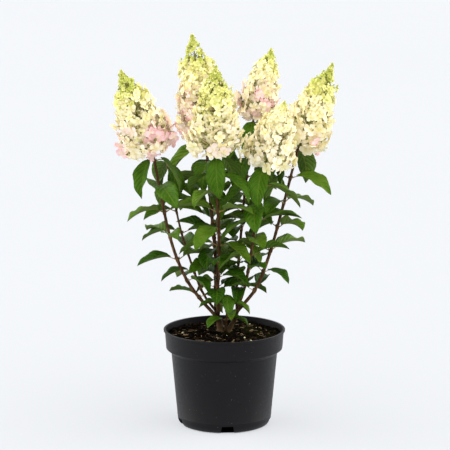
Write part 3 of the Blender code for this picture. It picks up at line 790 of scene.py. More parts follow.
def growLeaf(node, azimuth, pitch, roll, length, way, blocked):
    rule = leafRule
    for size in rule["trySizes"]:
        for pitchChange in rule["tryPitches"]:
            for turnChange in rule["tryTurns"]:
                angle = azimuth + math.radians(turnChange * way)
                rise = Vector((0, 0, math.sin(rule["stalkRise"])))
                stalk = (around(angle) * math.cos(rule["stalkRise"]) + rise) * rule["stalkLength"]
                blade = length * size
                width = blade * rule["widthRatio"]
                base = node + stalk * mix(rule["stalkLeast"], 1, size)
                place = leafFrame(base, angle, pitch + math.radians(pitchChange), roll)
                swept = coarseLeaf(
                    blade + rule["clearance"], width + rule["clearance"] * 2,
                    rule["thickness"] + rule["clearance"] * 2,
                    place, node + stalk * 0.5, rule["stalkRadius"] + rule["clearance"] / 2,
                )
                tree = treeOf(swept)
                if not any(tree.overlap(other) for other in blocked):
                    return {"node": node, "place": place, "length": blade, "width": width}
    return None


def caneTree(cane):
    clear = caneLook["endClear"]
    inner = [i * cane.step for i in range(len(cane.points))]
    stops = [0] + [d for d in inner if clear < d < cane.length - clear] + [cane.length]
    mesh = tubeMesh([cane.at(d) for d in stops], [cane.radius(d) for d in stops], caneLook["sides"])
    bm = bmesh.new()
    pourInto(bm, mesh)
    return treeOf(bm)


def growLeaves(cane, limbs, leafTrees):
    rule = leafRule
    chance = random.Random(cane.plan["seed"])
    grown = []
    for distance, share, turn in cane.pairs():
        for side in (0, 180):
            azimuth = math.radians(turn + side + chance.uniform(-1, 1) * rule["turnSpread"])
            hang = mix(rule["pitchFoot"], rule["pitchTop"], share ** rule["pitchPower"])
            pitch = math.radians(hang + chance.uniform(-1, 1) * rule["pitchSpread"])
            roll = math.radians(chance.uniform(-1, 1) * rule["rollSpread"])
            rise = math.sin(math.pi / 2 * min(share / rule["fullLengthShare"], 1))
            length = mix(*cane.plan["leaf"], rise) * chance.uniform(*rule["lengthSpread"])
            way = chance.choice((-1, 1))
            leaf = growLeaf(cane.at(distance), azimuth, pitch, roll, length, way, limbs + leafTrees)
            if leaf:
                solid = coarseLeaf(
                    leaf["length"], leaf["width"], rule["thickness"], leaf["place"], leaf["node"],
                    rule["stalkRadius"],
                )
                leafTrees.append(treeOf(solid))
                leaf.update(cane=cane, distance=distance, share=share)
                grown.append(leaf)
    return grown


graph = bpy.context.evaluated_depsgraph_get()
limbs = [caneTree(cane) for cane in canes]
solids = [name for name in nodes if name.endswith("_flower_head")] + ["woody_crown"]
limbs += [BVHTree.FromObject(nodes[name], graph) for name in solids]
leafTrees = []
leaves = [leaf for cane in canes for leaf in growLeaves(cane, limbs, leafTrees)]
print("leaves grown:", len(leaves))


# Bark of the canes and of the woody crown

barkLook = {
    "cane": {
        "deep": (0.036, 0.0150, 0.0050), "colour": (0.118, 0.052, 0.0170), "pale": (0.22, 0.125, 0.055),
        "scale": 340.0, "bump": 0.8,
    },
    "crown": {
        "deep": (0.024, 0.0120, 0.0042), "colour": (0.078, 0.043, 0.0160), "pale": (0.19, 0.120, 0.052),
        "scale": 210.0, "bump": 1.0,
    },
}
barkGrain = {"across": 900, "along": 90, "lumps": 240, "lumpShift": 9.0, "lumpShare": 0.6}
crownLook = {
    "voxel": 0.0008, "relief": 0.0006, "flare": 1.25, "flareHeight": 0.005, "sunk": 0.004, "sunkFlare": 1.1,
    "rootShare": 0.45, "rootBend": 0.008, "rootSwells": (1.15, 1.05, 1.0), "rootEnd": 0.010,
    "rootTaper": 0.9, "ridge": 0.0028, "ridgeLift": 0.6,
    "basalFoot": (0.002, 0.012), "basalRise": 0.002, "basalRadius": 0.0034,
}
trunkPlans = {
    "left": {
        "foot": (-0.0082, 0.012), "waist": (-0.0092, 0.011, 0.197), "fork": (-0.0165, 0.008, 0.212),
        "radii": (0.0062, 0.0060, 0.0064),
    },
    "right": {
        "foot": (0.0096, 0.012), "waist": (0.0172, 0.010, 0.1965), "fork": (0.0235, 0.007, 0.212),
        "radii": (0.0050, 0.0046, 0.0054),
    },
}


def barkMaterial(limb):
    look = barkLook[limb]
    material, tree, shader = newMaterial(f"{limb}Bark", 0.66, 0.12)
    place = objectPlace(tree)
    streaks = placeGroup(tree, barkStreaks, {"Vector": place, "Scale": look["scale"]})
    pores = placeGroup(tree, specks, {"Vector": place, "Scale": 520.0, "Size": 0.26, "Share": 0.12})
    patches = placeGroup(tree, mottle, {"Vector": place, "Scale": 60.0})
    worn = mathNode(tree, "MULTIPLY", patches.outputs["Mask"], streaks.outputs["Mask"])
    body = layered(
        tree, look["deep"], (streaks.outputs["Mask"], 1, look["colour"]), (worn, 0.55, look["pale"]),
        (pores.outputs[0], 0.5, look["pale"]),
    )
    tree.links.new(body, shader.inputs["Base Color"])
    rough = ranged(tree, streaks.outputs["Height"], 0.0, 1.0, 0.52, 0.80)
    tree.links.new(rough, shader.inputs["Roughness"])
    addBump(tree, shader, streaks.outputs["Height"], look["bump"], 0.0008)
    return material


def barkRelief(mesh, size):
    # ridges that run up the limb, pushed out along the normals
    grain = barkGrain
    normals = [vert.normal.copy() for vert in mesh.vertices]
    for vert, normal in zip(mesh.vertices, normals):
        place = vert.co
        drawn = Vector((place.x * grain["across"], place.y * grain["across"], place.z * grain["along"]))
        lump = wobble(place, grain["lumps"], grain["lumpShift"])
        vert.co = place + normal * size * (noise.noise(drawn) + grain["lumpShare"] * lump)


def knotSwell(distance, marks):
    look = caneLook
    return 1 + sum(look["knot"] * math.exp(-((distance - mark) / look["knotLength"]) ** 2) for mark in marks)


def makeCanes():
    look = caneLook
    bark = bmesh.new()
    for cane in canes:
        marks = [distance for distance, share, turn in cane.pairs()]
        count = round((cane.length + look["sink"]) / look["barkStep"])
        stops = [mix(-look["sink"], cane.length, k / count) for k in range(count + 1)]
        points = [cane.at(d) + cane.heading(0) * min(d, 0) for d in stops]
        radii = [cane.radius(max(d, 0)) * knotSwell(d, marks) for d in stops]
        limb = tubeMesh(points, radii, look["barkSides"])
        barkRelief(limb, look["relief"])
        pourInto(bark, limb)
    stems = [name for name in nodes if name.endswith("_stem")]
    addPiece("cane_bark", bark, [barkMaterial("cane")], stems)


def makeCrown():
    look = crownLook
    ground = crownLow.z
    solid = bmesh.new()
    feet = [Vector((*plan["foot"], ground)) for plan in trunkPlans.values()]
    ridge = [foot + Vector((0, 0, look["ridge"] * look["ridgeLift"])) for foot in feet]
    pourInto(solid, tubeMesh(ridge, [look["ridge"]] * 2, 5))
    for foot, plan in zip(feet, trunkPlans.values()):
        flare = plan["radii"][0] * look["flare"]
        points = [foot - Vector((0, 0, look["sunk"])), foot, foot + Vector((0, 0, look["flareHeight"]))]
        points += [Vector(plan["waist"]), Vector(plan["fork"])]
        pourInto(solid, tubeMesh(points, [flare * look["sunkFlare"], flare, *plan["radii"]], 6))
    end = look["rootEnd"]
    for cane in canes[:-1]:
        plan = trunkPlans[cane.plan["trunk"]]
        start = Vector(plan["fork"]).lerp(Vector(plan["waist"]), look["rootShare"])
        bend = cane.points[0] - cane.heading(0) * look["rootBend"]
        radii = [cane.radius(0) * swell for swell in look["rootSwells"]]
        points = [start, bend, cane.points[0], cane.at(end)]
        pourInto(solid, tubeMesh(points, radii + [cane.radius(end) * look["rootTaper"]], 5))
    foot = Vector((*look["basalFoot"], ground + look["basalRise"]))
    pourInto(solid, tubeMesh([foot, basal.points[0]], [look["basalRadius"], basal.radius(0)], 4))
    mesh = applyModifiers(
        meshFrom(solid, "woody_crown_bark"),
        ("REMESH", {"mode": "VOXEL", "voxel_size": look["voxel"]}),
        ("SMOOTH", {"factor": 0.5, "iterations": 4}),
    )
    barkRelief(mesh, look["relief"])
    addPiece("woody_crown_bark", mesh, [barkMaterial("crown")], ["woody_crown"])


makeCanes()
makeCrown()


# Leaf blades, stalks and buds

bladeLook = {
    "stations": 18, "columns": 6, "sweep": 0.11, "teeth": 0.012, "wave": 0.0022, "drawnOut": 0.40,
    "thickness": 0.00045, "widthBase": 0.52, "widthTip": 0.82, "ribDepth": 0.0005, "seed": 21,
    "foldFoot": (0.80, 1.50), "foldTop": (0.75, 1.55), "veinPairs": 7, "fuller": (1.22, 1.02),
    "tones": ("deep", "deep", "mid", "fresh", "fresh", "mid", "fresh", "mid"), "toneSpread": 2.6,
    "sheenTint": (0.88, 1.0, 0.60), "basalFuller": 1.22, "droopSpread": (0.85, 1.15), "foldPower": 1.5,
    "twist": 22, "waves": (1.6, 2.6), "bow": 0.05, "fullLength": 0.08, "finePoint": 12,
}
leafSides = {
    "top": {"roughness": 0.42, "specular": 0.135, "veins": 0.38, "quilt": 0.8},
    "under": {"roughness": 0.66, "specular": 0.06, "veins": 0.60, "quilt": 0.8},
}
stalkLook = {
    "steps": 7, "from": 0.10, "to": 0.10, "under": 0.0004, "sag": 0.0016, "sagSpread": (0.4, 1.4),
    "widths": (1.25, 0.55), "budRadius": (0.0011, 0.0016), "budLength": 2.1, "budLift": 0.0022,
    "budLean": 1.5, "budOut": 1.1,
}
leafTones = {
    "deep": {
        "top": (0.0145, 0.058, 0.0008), "light": (0.027, 0.086, 0.0018), "under": (0.050, 0.112, 0.010),
    },
    "mid": {
        "top": (0.0320, 0.096, 0.0016), "light": (0.060, 0.144, 0.0060), "under": (0.076, 0.145, 0.020),
    },
    "fresh": {
        "top": (0.0600, 0.140, 0.0040), "light": (0.106, 0.192, 0.0140), "under": (0.118, 0.185, 0.036),
    },
}
veinTint = {"top": (0.100, 0.180, 0.014), "under": (0.200, 0.255, 0.050)}


def leafMaterial(name, colour, light, side):
    look = leafSides[side]
    material, tree, shader = newMaterial(name, look["roughness"], look["specular"])
    shader.inputs["Specular Tint"].default_value = (*bladeLook["sheenTint"], 1)
    uv = addNode(tree, "ShaderNodeUVMap", uv_map="blade").outputs["UV"]
    place = objectPlace(tree)
    lines = placeGroup(tree, leafVeins, {"UV": uv, "Pairs": bladeLook["veinPairs"]})
    patches = placeGroup(tree, mottle, {"Vector": place, "Scale": 55.0})
    body = layered(
        tree, colour, (patches.outputs["Mask"], 1, light),
        (lines.outputs["Veins"], look["veins"], veinTint[side]),
        (lines.outputs["Midrib"], 0.70, veinTint[side]),
    )
    tree.links.new(body, shader.inputs["Base Color"])
    spread = (look["roughness"] - 0.07, look["roughness"] + 0.07)
    tree.links.new(ranged(tree, patches.outputs["Fine"], 0.3, 0.7, *spread), shader.inputs["Roughness"])
    cells = addNode(tree, "ShaderNodeTexVoronoi", {"Vector": place, "Scale": 620.0})
    netted = scaled(tree, cells.outputs["Distance"], 0.35)
    height = mathNode(tree, "SUBTRACT", netted, lines.outputs["Hollow"])
    addBump(tree, shader, height, look["quilt"], 0.0010)
    return material


def outline(t):
    # half width of a blade at a share of its length, 1 at its widest: ovate, drawn out to a point
    look = bladeLook
    peak = look["widthBase"] / (look["widthBase"] + look["widthTip"])
    top = peak ** look["widthBase"] * (1 - peak) ** look["widthTip"]
    drawn = 1 - look["drawnOut"] * t ** look["finePoint"]
    return max(t, 0) ** look["widthBase"] * max(1 - t, 0) ** look["widthTip"] / top * drawn


def fineBlade(length, width, share, chance):
    look = bladeLook
    stations, columns = look["stations"], look["columns"]
    bm = bmesh.new()
    bmesh.ops.create_grid(bm, x_segments=stations, y_segments=columns, size=1)
    uvLayer = bm.loops.layers.uv.new("blade")
    droop = leafRule["droop"] * chance.uniform(*look["droopSpread"])
    later = share ** look["foldPower"]
    folds = [mix(low, high, later) for low, high in zip(look["foldFoot"], look["foldTop"])]
    fold = leafRule["fold"] * chance.uniform(*folds)
    twist = math.radians(chance.uniform(-look["twist"], look["twist"]))
    phase = chance.uniform(0, math.tau)
    waves = chance.uniform(*look["waves"])
    bow = chance.uniform(-look["bow"], look["bow"])
    scale = length / look["fullLength"]
    for face in bm.faces:
        for loop in face.loops:
            loop[uvLayer].uv = ((loop.vert.co.x + 1) / 2, (loop.vert.co.y + 1) / 2)
    for vert in bm.verts:
        t = (vert.co.x + 1) / 2
        side = vert.co.y
        station = round(t * stations)
        away = abs(side)
        half = width / 2 * outline(t)
        if away > 0.999 and 0 < t < 1:
            half *= 1 + look["teeth"] * (1 if station % 2 else -1)
        rolling = math.sin(waves * math.tau * t + phase + side)
        lift = away * half * math.sin(fold)
        lift += look["wave"] * scale * away ** 2 * rolling * math.sin(math.pi * t)
        lift -= look["ribDepth"] * scale * (1 - min(away * columns / 2, 1)) * (1 - t)
        along = t + look["sweep"] * away * outline(t) * (1 - t)
        across = side * half * math.cos(fold) + bow * length * math.sin(math.pi * t)
        turned = Matrix.Rotation(twist * t, 3, "X") @ Vector((0, across, lift))
        vert.co = bladePlace(along, turned.y, turned.z, length, droop)
    bmesh.ops.solidify(bm, geom=bm.faces[:], thickness=look["thickness"] * scale)
    bmesh.ops.remove_doubles(bm, verts=bm.verts, dist=0.00003)
    outward(bm)
    for face in bm.faces:
        face.normal_update()
        face.material_index = 1 if face.normal.z < 0 else 0
        face.smooth = True
    return meshFrom(bm, "blade")


def leafStalk(leaf, chance):
    # from the node, bowed under, to a little way up the midrib
    look = stalkLook
    steps = look["steps"]
    node, base = leaf["node"], leaf["place"].translation
    start = node + (base - node) * look["from"]
    end = leaf["place"] @ bladePlace(look["to"], 0, -look["under"], leaf["length"], leafRule["droop"])
    sag = Vector((0, 0, -look["sag"] * chance.uniform(*look["sagSpread"])))
    points = []
    for k in range(steps + 1):
        t = k / steps
        points.append(start * (1 - t) ** 2 + (base + sag) * (2 * t * (1 - t)) + end * t * t)
    thick = leafRule["stalkRadius"] * leaf["length"] / bladeLook["fullLength"]
    radii = [thick * mix(*look["widths"], min(k / steps * 1.2, 1)) for k in range(steps + 1)]
    return tubeMesh(points, radii, 1)


def addAxilBud(buds, leaf, chance):
    # the bud between cane and leaf stalk
    look = stalkLook
    fresh = bmesh.ops.create_icosphere(buds, subdivisions=2, radius=1)["verts"]
    cane = leaf["cane"]
    out = (leaf["place"].translation - leaf["node"]).normalized()
    lean = (cane.heading(leaf["distance"]) * look["budLean"] + out).normalized()
    spot = leaf["node"] + out * cane.radius(leaf["distance"]) * look["budOut"] + lean * look["budLift"]
    size = chance.uniform(*look["budRadius"])
    shape = Matrix.Diagonal((size, size, size * look["budLength"], 1))
    bmesh.ops.transform(buds, matrix=Matrix.Translation(spot) @ aimed(lean) @ shape, verts=fresh)


def makeFoliage():
    look = bladeLook
    chance = random.Random(look["seed"])
    tones = {tone: bmesh.new() for tone in leafTones}
    for bm in tones.values():
        bm.loops.layers.uv.new("blade")
    stalks = bmesh.new()
    buds = bmesh.new()
    for leaf in leaves:
        rank = leaf["share"] * len(look["tones"]) + chance.uniform(-1, 1) * look["toneSpread"]
        tone = look["tones"][max(0, min(len(look["tones"]) - 1, int(rank)))]
        width = leaf["width"] * mix(*look["fuller"], min(leaf["share"] * 2, 1))
        if leaf["cane"] is basal:
            width *= look["basalFuller"]
        blade = fineBlade(leaf["length"], width, leaf["share"], chance)
        scatter(tones[tone], blade, leaf["place"])
        bpy.data.meshes.remove(blade)
        pourInto(stalks, leafStalk(leaf, chance))
        addAxilBud(buds, leaf, chance)
    masses = [name for name in nodes if name.endswith("_leaves")]
    for tone, bm in tones.items():
        colours = leafTones[tone]
        top = leafMaterial(f"{tone}Leaf", colours["top"], colours["light"], "top")
        under = leafMaterial(f"{tone}LeafUnder", colours["under"], colours["under"], "under")
        addPiece(f"leaf_blades_{tone}", bm, [top, under], masses if tone == "mid" else [])
    stalkGreen = plainFinish("leafStalk", (0.26, 0.21, 0.055), (0.30, 0.155, 0.055), 90.0, 0.55)
    addPiece("leaf_stalks", stalks, [stalkGreen])
    budBrown = plainFinish("axilBud", (0.10, 0.060, 0.020), (0.13, 0.15, 0.035), 160.0, 0.6)
    addPiece("axil_buds", buds, [budBrown])


makeFoliage()


# Flower heads

headPlans = {
    "left": {
        "peak": (-0.195, -0.034, 0.692), "radius": 0.060, "shoulder": 0.12, "lift": 0.008,
        "budAbove": 0.75, "limeAbove": 0.66, "creamAbove": 0.42, "pinkBelow": 0.36, "pinkChance": 0.55,
    },
    "rear_middle": {
        "peak": (-0.062, 0.094, 0.742), "radius": 0.054, "shoulder": 0.26, "lift": 0.001,
        "budAbove": 0.76, "limeAbove": 0.68, "creamAbove": 0.46, "pinkBelow": 0.46, "pinkChance": 0.45,
    },
    "front_middle": {
        "peak": (-0.016, -0.090, 0.709), "radius": 0.057, "shoulder": 0.14, "lift": 0.006,
        "budAbove": 0.74, "limeAbove": 0.58, "creamAbove": 0.30, "pinkBelow": 0.22, "pinkChance": 0.10,
    },
    "rear_right": {
        "peak": (0.091, 0.100, 0.713), "radius": 0.044, "shoulder": 0.20, "lift": -0.002,
        "budAbove": 0.81, "limeAbove": 0.74, "creamAbove": 0.52, "pinkBelow": 0.46, "pinkChance": 0.50,
    },
    "front_right": {
        "peak": (0.113, -0.052, 0.636), "radius": 0.052, "shoulder": 0.20, "lift": 0.0,
        "budAbove": 0.985, "limeAbove": 0.96, "creamAbove": 0.55, "pinkBelow": 0.0, "pinkChance": 0.0,
    },
    "right": {
        "peak": (0.206, 0.044, 0.693), "radius": 0.053, "shoulder": 0.14, "lift": -0.002,
        "budAbove": 0.76, "limeAbove": 0.64, "creamAbove": 0.38, "pinkBelow": 0.14, "pinkChance": 0.2,
    },
}
headLook = {
    "base": 0.72, "taper": 0.64, "tipLength": 0.30, "tipPower": 0.55, "cover": 1.62, "inner": 1.15,
    "size": (0.0134, 0.0027), "sizePower": 1.6, "sizeSpread": (0.78, 1.18), "turnSpread": 0.3, "tilt": 0.36,
    "branches": 84, "clump": (0.0150, 0.0062), "relief": (0.0040, 0.0046), "fan": 0.65, "loose": 0.70,
    "push": (-0.0032, 0.0042), "pushTop": 0.4, "hang": 0.010, "hangBelow": 0.30, "lift": (-0.75, 0.60),
    "sunk": (0.34, 0.50), "sunkSpread": 0.32, "layerSunk": (0.45, 0.85),
    "stray": 0.15, "strayOut": (0.2, 0.75),
    "gaps": 9, "gapShare": (0.04, 0.60), "gapRadius": (0.0050, 0.0092), "gapSpread": 0.4, "gapTilt": 0.3,
    "gapDepth": 0.006, "gapCluster": 0.85, "nearAxis": 0.002,
    "inside": 150, "insideShare": (0.06, 0.80), "insideDepth": (0.0110, 0.0160), "insideTilt": 0.4,
    "insideSize": (0.0044, 0.0062),
    "coreSteps": 10, "core": (0.0040, 0.0007), "twig": 0.0006, "branch": 0.0014,
    "toneSpread": 0.10, "budSpread": 0.04, "budShare": 0.7, "budSize": 0.80, "youngBelow": 0.16,
    # paintedGlow is the emission strength of the petals' painted glow
    "innerLime": 0.80, "innerLimeBelow": 0.12, "paintedGlow": 0.075, "seed": 31,
}
sepalLook = {
    "count": 4, "cup": (-0.16, 0.22), "size": (0.80, 1.10), "turn": 0.18, "roll": 0.28,
    "raised": (-0.015, 0.035), "lean": 0.12, "ruffle": 0.07, "ruffles": 3, "dip": 0.12, "edge": 0.08,
    "widths": (0.60, 1.12), "start": 0.02,
}
floretForms = {
    "open": {"count": 10, "seed": 0, "cells": 3, "cup": 0.10, "width": 0.50, "bead": 0.10},
    "young": {"count": 5, "seed": 20, "cells": 3, "cup": 0.42, "width": 0.52, "bead": 0.16},
    "shut": {"count": 4, "seed": 40, "cells": 2, "cup": 0.85, "width": 0.62, "bead": 0.34},
}
clusterForms = {
    "dome": {"count": 4, "seed": 70, "beads": 17, "radius": 0.15, "sides": 5},
    "plainDome": {"count": 4, "seed": 80, "beads": 7, "radius": 0.22, "sides": 4},
}
petalTones = {
    "lime": {"colour": (0.83, 0.81, 0.30), "throat": (0.60, 0.61, 0.11), "tip": (0.91, 0.88, 0.42)},
    "cream": {"colour": (0.94, 0.865, 0.50), "throat": (0.80, 0.73, 0.27), "tip": (0.96, 0.900, 0.65)},
    "ivory": {"colour": (0.955, 0.868, 0.61), "throat": (0.85, 0.73, 0.35), "tip": (0.97, 0.900, 0.72)},
    "blush": {"colour": (0.95, 0.820, 0.70), "throat": (0.88, 0.75, 0.48), "tip": (0.95, 0.71, 0.66)},
    "pink": {"colour": (0.94, 0.70, 0.66), "throat": (0.91, 0.76, 0.56), "tip": (0.92, 0.47, 0.54)},
    "bud": {"colour": (0.58, 0.62, 0.125), "throat": (0.43, 0.47, 0.07), "tip": (0.73, 0.74, 0.20)},
}


def petalMaterial(name, tone):
    material, tree, shader = newMaterial(name, 0.62, 0.18, 0.15)
    uv = addNode(tree, "ShaderNodeUVMap", uv_map="petal").outputs["UV"]
    place = objectPlace(tree)
    parts = addNode(tree, "ShaderNodeSeparateXYZ", {0: uv})
    throat = ranged(tree, parts.outputs[0], 0.05, 0.45, 1.0, 0.0)
    rim = ranged(tree, parts.outputs[0], 0.55, 1.0)
    patches = placeGroup(tree, mottle, {"Vector": place, "Scale": 70.0})
    body = layered(
        tree, tone["colour"], (patches.outputs["Mask"], 0.35, tone["tip"]), (throat, 0.8, tone["throat"]),
        (rim, 0.8, tone["tip"]),
    )
    tree.links.new(body, shader.inputs["Base Color"])
    # painted glow: the petal colour is also emitted, standing in for light that comes through the thin
    # petals
    tree.links.new(body, shader.inputs["Emission Color"])
    shader.inputs["Emission Strength"].default_value = headLook["paintedGlow"]
    waves = {"Vector": uv, "Scale": 2.2, "Distortion": 1.5}
    veins = addNode(tree, "ShaderNodeTexWave", waves, bands_direction="Y")
    addBump(tree, shader, veins.outputs["Fac"], 0.25, 0.0003)
    return material


def sepalMesh(chance, cells, cup, width):
    # one broad, round, ruffled sepal of unit length along +X
    bm = bmesh.new()
    bmesh.ops.create_grid(bm, x_segments=cells, y_segments=cells, size=1)
    uvLayer = bm.loops.layers.uv.new("petal")
    for vert in bm.verts:
        x, y = vert.co.x, vert.co.y
        vert.co = Vector((x * math.sqrt(1 - y * y / 2), y * math.sqrt(1 - x * x / 2), 0))
    for face in bm.faces:
        face.smooth = True
        for loop in face.loops:
            loop[uvLayer].uv = ((loop.vert.co.x + 1) / 2, (loop.vert.co.y + 1) / 2)
    look = sepalLook
    phase = chance.uniform(0, math.tau)
    lean = chance.uniform(-look["lean"], look["lean"])
    for vert in bm.verts:
        t = (vert.co.x + 1) / 2
        side = vert.co.y
        turn = math.atan2(side, vert.co.x)
        ruffle = look["ruffle"] * vert.co.length_squared * math.sin(look["ruffles"] * turn + phase)
        lift = cup * t * t + ruffle - look["dip"] * t + look["edge"] * side * side
        across = side * width * mix(*look["widths"], t) + lean * t * t
        vert.co = Vector((t + look["start"], across, lift))
    return bm


def floretTemplate(form, seed):
    look = sepalLook
    chance = random.Random(seed)
    bm = bmesh.new()
    bm.loops.layers.uv.new("petal")
    for index in range(look["count"]):
        cup = form["cup"] + chance.uniform(*look["cup"])
        sepal = meshFrom(sepalMesh(chance, form["cells"], cup, form["width"]), "sepal")
        size = chance.uniform(*look["size"])
        turn = index * math.tau / look["count"] + chance.uniform(-look["turn"], look["turn"])
        raised = look["raised"][index % 2]
        place = Matrix.Rotation(turn, 4, "Z") @ Matrix.Translation((0, 0, raised)) @ Matrix.Scale(size, 4)
        scatter(bm, sepal, place @ Matrix.Rotation(chance.uniform(-look["roll"], look["roll"]), 4, "X"))
        bpy.data.meshes.remove(sepal)
    bead = bmesh.ops.create_icosphere(bm, subdivisions=1, radius=form["bead"])["verts"]
    bmesh.ops.translate(bm, verts=bead, vec=(0, 0, form["bead"] * 0.6))
    return meshFrom(bm, "floret")


def clusterTemplate(form, seed):
    # a dome of tiny fertile flowers. The verts moved aren't all of the newest bead, since bmesh fills freed
    # places in its list first, so the beads are drawn into one another.
    chance = random.Random(seed)
    sides = form["sides"]
    bm = bmesh.new()
    for index in range(form["beads"]):
        start = len(bm.verts)
        size = form["radius"] * chance.uniform(0.8, 1.2)
        rows = sides // 2 + sides % 2
        bmesh.ops.create_uvsphere(bm, u_segments=sides, v_segments=rows, radius=size)
        bm.verts.ensure_lookup_table()
        reach = math.sqrt((index + 0.5) / form["beads"])
        spot = around(index * goldenAngle, reach, 0.5 * (1 - reach * reach))
        spot += Vector((0, 0, chance.uniform(-0.1, 0.1)))
        bmesh.ops.translate(bm, verts=bm.verts[start:], vec=spot)
    return meshFrom(bm, "cluster")


def templatesOf(forms, build):
    return {
        name: [build(form, form["seed"] + index) for index in range(form["count"])]
        for name, form in forms.items()
    }


def floretSize(share):
    return mix(*headLook["size"], max(0, min(1, share)) ** headLook["sizePower"])


def facingTurn(direction, chance, tilt):
    spread = Vector([chance.uniform(-tilt, tilt) for axis in range(3)])
    spin = Matrix.Rotation(chance.uniform(0, math.tau), 4, "Z")
    return aimed((direction + spread).normalized()) @ spin


class Head:
    # a cone of florets on the line from its cane's tip to its peak. A share is a share of its height.
    def __init__(self, cane):
        self.plan = headPlans[cane.name]
        self.chance = random.Random(headLook["seed"] + len(cane.name))
        peak, foot = Vector(self.plan["peak"]), cane.points[-1]
        axis = (peak - foot).normalized()
        origin = foot + axis * self.plan["lift"]
        self.height = (peak - origin).length
        self.place = Matrix.Translation(origin) @ aimed(axis)
        self.clumps = self.findClumps()
        self.gaps = self.findGaps()

    def radius(self, share):
        # rounded foot, then a full cone with a slender tip
        plan, look = self.plan, headLook
        down = 1 - share
        neck = 1 - plan["shoulder"]
        if down > neck:
            drop = (down - neck) / plan["shoulder"]
            return plan["radius"] * mix(look["base"], 1, math.sqrt(max(0, 1 - drop * drop)))
        slender = min(1, down / neck / look["tipLength"]) ** look["tipPower"]
        return plan["radius"] * (down / neck) ** look["taper"] * slender

    def spot(self, share, angle):
        return around(angle, self.radius(share), share * self.height)

    def shares(self, cover):
        # from tip to foot, as many florets as cover the head so many times
        steps = 80
        sums = [0.0]
        for k in range(steps):
            share = 1 - (k + 0.5) / steps
            sums.append(sums[-1] + (self.radius(share) + 0.001) / floretSize(share) ** 2)
        count = round(cover * sums[-1] * 2 * self.height / steps)
        found = []
        step = 0
        for index in range(count):
            goal = sums[-1] * (index + 0.5) / count
            while sums[step + 1] < goal:
                step += 1
            part = (goal - sums[step]) / (sums[step + 1] - sums[step])
            found.append(1 - (step + part) / steps)
        return found

    def findClumps(self):
        # the middle of each side branch, how far it is pushed out and how far it hangs
        look, chance = headLook, self.chance
        shares = self.shares(look["cover"])
        step = len(shares) / look["branches"]
        clumps = []
        for index in range(look["branches"]):
            share = shares[int((index + 0.5) * step)]
            turn = chance.uniform(-look["turnSpread"], look["turnSpread"])
            hang = chance.random() * look["hang"] * max(0, 1 - share / look["hangBelow"])
            push = chance.uniform(*look["push"]) * mix(1, look["pushTop"], share)
            clumps.append((self.spot(share, index * goldenAngle + turn), push, hang))
        return clumps

    def findGaps(self):
        # places without florets, where one sees in
        look, chance = headLook, self.chance
        gaps = []
        for index in range(look["gaps"]):
            share = mix(*look["gapShare"], (index + chance.random()) / look["gaps"])
            turn = chance.uniform(-look["gapSpread"], look["gapSpread"])
            gaps.append((self.spot(share, index * goldenAngle + turn), chance.uniform(*look["gapRadius"])))
        return gaps

    def pickTone(self, share):
        plan, chance = self.plan, self.chance
        place = share + chance.uniform(-headLook["toneSpread"], headLook["toneSpread"])
        if place > plan["limeAbove"]:
            return "lime"
        if place < plan["pinkBelow"] and chance.random() < plan["pinkChance"]:
            return "pink" if chance.random() < 0.5 else "blush"
        if place > plan["creamAbove"]:
            return "cream"
        return "ivory" if chance.random() < 0.75 else "cream"

    def pickForm(self, share, layer):
        # tone and form of a floret: green and shut at the tip, then half open
        look, chance = headLook, self.chance
        budding = share + chance.uniform(-look["budSpread"], look["budSpread"]) - self.plan["budAbove"]
        if budding > 0:
            return "bud" if chance.random() < look["budShare"] else "lime", "shut"
        tone = self.pickTone(share)
        limeAbove = self.plan["limeAbove"] - look["innerLimeBelow"]
        if layer and share > limeAbove and chance.random() < look["innerLime"]:
            tone = "lime"
        return tone, "young" if budding > -look["youngBelow"] else "open"

    def addFlorets(self, layer, cover, piles, forms):
        look, chance, place = headLook, self.chance, self.place
        for index, share in enumerate(self.shares(cover)):
            size = floretSize(share) * chance.uniform(*look["sizeSpread"])
            angle = index * goldenAngle + chance.uniform(-look["turnSpread"], look["turnSpread"]) + layer
            spot = self.spot(share, angle)
            if any((spot - gap).length < reach for gap, reach in self.gaps):
                continue
            out = around(angle)
            near, push, hang = min(self.clumps, key=lambda clump: (spot - clump[0]).length_squared)
            offset = (spot - near) / mix(*look["clump"], share)
            bulge = push + mix(*look["relief"], share) * (0.45 - min(offset.length_squared, 1.4))
            if share > self.plan["budAbove"] and offset.length > look["loose"]:
                continue
            depth = mix(*look["sunk"], share) * size + chance.uniform(0, look["sunkSpread"]) * size
            if layer:
                depth += size * chance.uniform(*look["layerSunk"])
            stray = not layer and chance.random() < look["stray"]
            if stray:
                depth -= size * chance.uniform(*look["strayOut"])
            shift = max(bulge - depth, look["nearAxis"] - out.dot(spot))
            spot += out * shift - Vector((0, 0, hang))
            aim = out + Vector((0, 0, mix(*look["lift"], share))) + offset * look["fan"]
            turn = facingTurn(aim.normalized(), chance, look["tilt"])
            tone, form = self.pickForm(share, layer)
            if form == "shut":
                size *= look["budSize"]
            where = place @ Matrix.Translation(spot) @ turn @ Matrix.Scale(size, 4)
            scatter(piles[tone], forms[form][index % len(forms[form])], where)
            if index % 4 == layer or stray or hang > 0.003:
                root = max(spot.z - out.dot(spot) * 0.55, look["nearAxis"])
                back = spot - turn.to_3x3() @ Vector((0, 0, size * 0.15))
                inner = Vector((0, 0, root)) + out * 0.001
                scatterTwig(piles["stalks"], forms["twig"], place @ inner, place @ back, look["twig"])

    def fillGaps(self, piles, forms):
